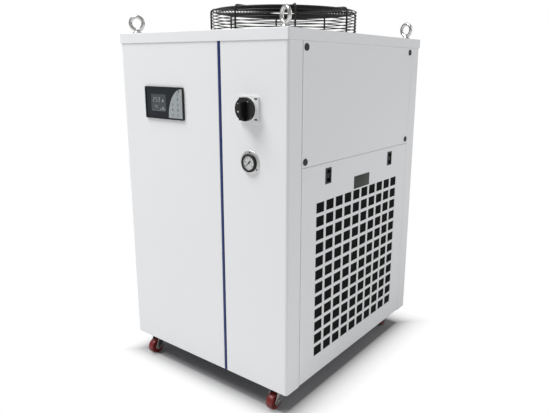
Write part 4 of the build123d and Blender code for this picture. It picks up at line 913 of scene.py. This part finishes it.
def makeFloor(s):
    mesh = bpy.data.meshes.new("floor")
    half = s["floorSize"]
    corners = [(-half, -half, 0), (half, -half, 0), (half, half, 0), (-half, half, 0)]
    mesh.from_pydata(corners, [], [(0, 1, 2, 3)])
    floor = bpy.data.objects.new("floor", mesh)
    bpy.context.collection.objects.link(floor)
    f = Finish("floorPaper", Roughness=0.9, Specular_IOR_Level=0.0)
    outside = (abs(f.axis("X")) - s["halfWidth"]).maths("MAXIMUM", abs(f.axis("Y")) - s["halfDepth"])
    far = ((outside - s["fadeStart"]) / (s["fadeEnd"] - s["fadeStart"])).clamped() ** s["fadePower"]
    paintedShadow = ((s["shadowPaintEdge"] - outside) / s["shadowPaintEdge"]).clamped()  # painted shadow: a darker floor colour below the cabinet
    f.feed("Base Color", f.blend(paintedShadow, s["floorColour"], s["shadowPaintColour"]))
    rays = f.node("ShaderNodeLightPath").outputs
    seen = Value(f.tree, rays["Is Camera Ray"]).maths("MAXIMUM", Value(f.tree, rays["Is Glossy Ray"]))
    seen = seen.maths("MAXIMUM", Value(f.tree, rays["Is Transmission Ray"]))
    glow = f.node("ShaderNodeEmission", None, {"Color": (1, 1, 1, 1), "Strength": 1.0}).outputs[0]
    mix = f.node("ShaderNodeMixShader", None, {0: far * seen, 1: f.shader.outputs[0], 2: glow})
    f.tree.links.new(mix.outputs[0], f.tree.nodes["Material Output"].inputs["Surface"])
    mesh.materials.append(f.material)


def makeWorld(s):
    world = bpy.data.worlds.new("studio")
    bpy.context.scene.world = world
    world.use_nodes = True
    tree = world.node_tree
    base = tree.nodes["Background"]
    white = tree.nodes.new("ShaderNodeBackground")
    for node, strength in ((base, s["worldStrength"]), (white, 1.0)):
        node.inputs["Color"].default_value = (1, 1, 1, 1)
        node.inputs["Strength"].default_value = strength
    rays = tree.nodes.new("ShaderNodeLightPath").outputs
    seen = Value(tree, rays["Is Camera Ray"]).maths("MAXIMUM", Value(tree, rays["Is Transmission Ray"]))
    mix = tree.nodes.new("ShaderNodeMixShader")
    for index, item in enumerate((seen, base.outputs[0], white.outputs[0])):
        plug(tree, item, mix.inputs[index])
    tree.links.new(mix.outputs[0], tree.nodes["World Output"].inputs["Surface"])


def makeLamp(name, power, place, size, target):
    light = bpy.data.lights.new(name, "AREA")
    light.energy = power
    light.shape = "DISK"
    light.size = size
    lamp = bpy.data.objects.new(name, light)
    lamp.location = place
    lamp.rotation_euler = (Vector(target) - Vector(place)).to_track_quat("-Z", "Y").to_euler()
    bpy.context.collection.objects.link(lamp)


makeFloor(stage)
makeWorld(stage)
makeLamp("keyLamp", stage["keyPower"], stage["keyFrom"], stage["keySize"], stage["lampTarget"])
makeLamp("fillLamp", stage["fillPower"], stage["fillFrom"], stage["fillSize"], stage["lampTarget"])

camera = {
    "place": (1.13145, -1.44254, 0.97863),
    "heading": 36.52,
    "pitch": -13.56,
    "roll": 0.5,
    "lens": 35.18,
    "shift": (-0.0333, -0.0208),
}


def makeCamera(c):
    data = bpy.data.cameras.new("camera")
    data.lens = c["lens"]
    data.sensor_width = 36
    data.shift_x, data.shift_y = c["shift"]
    data.clip_end = 60
    heading = Matrix.Rotation(math.radians(c["heading"]), 4, "Z")
    pitch = Matrix.Rotation(math.radians(90 + c["pitch"]), 4, "X")
    roll = Matrix.Rotation(math.radians(c["roll"]), 4, "Z")
    made = bpy.data.objects.new("camera", data)
    made.matrix_world = Matrix.Translation(c["place"]) @ heading @ pitch @ roll
    bpy.context.collection.objects.link(made)
    bpy.context.scene.camera = made


makeCamera(camera)
bpy.context.scene.view_settings.view_transform = "Standard"
print("stage made")
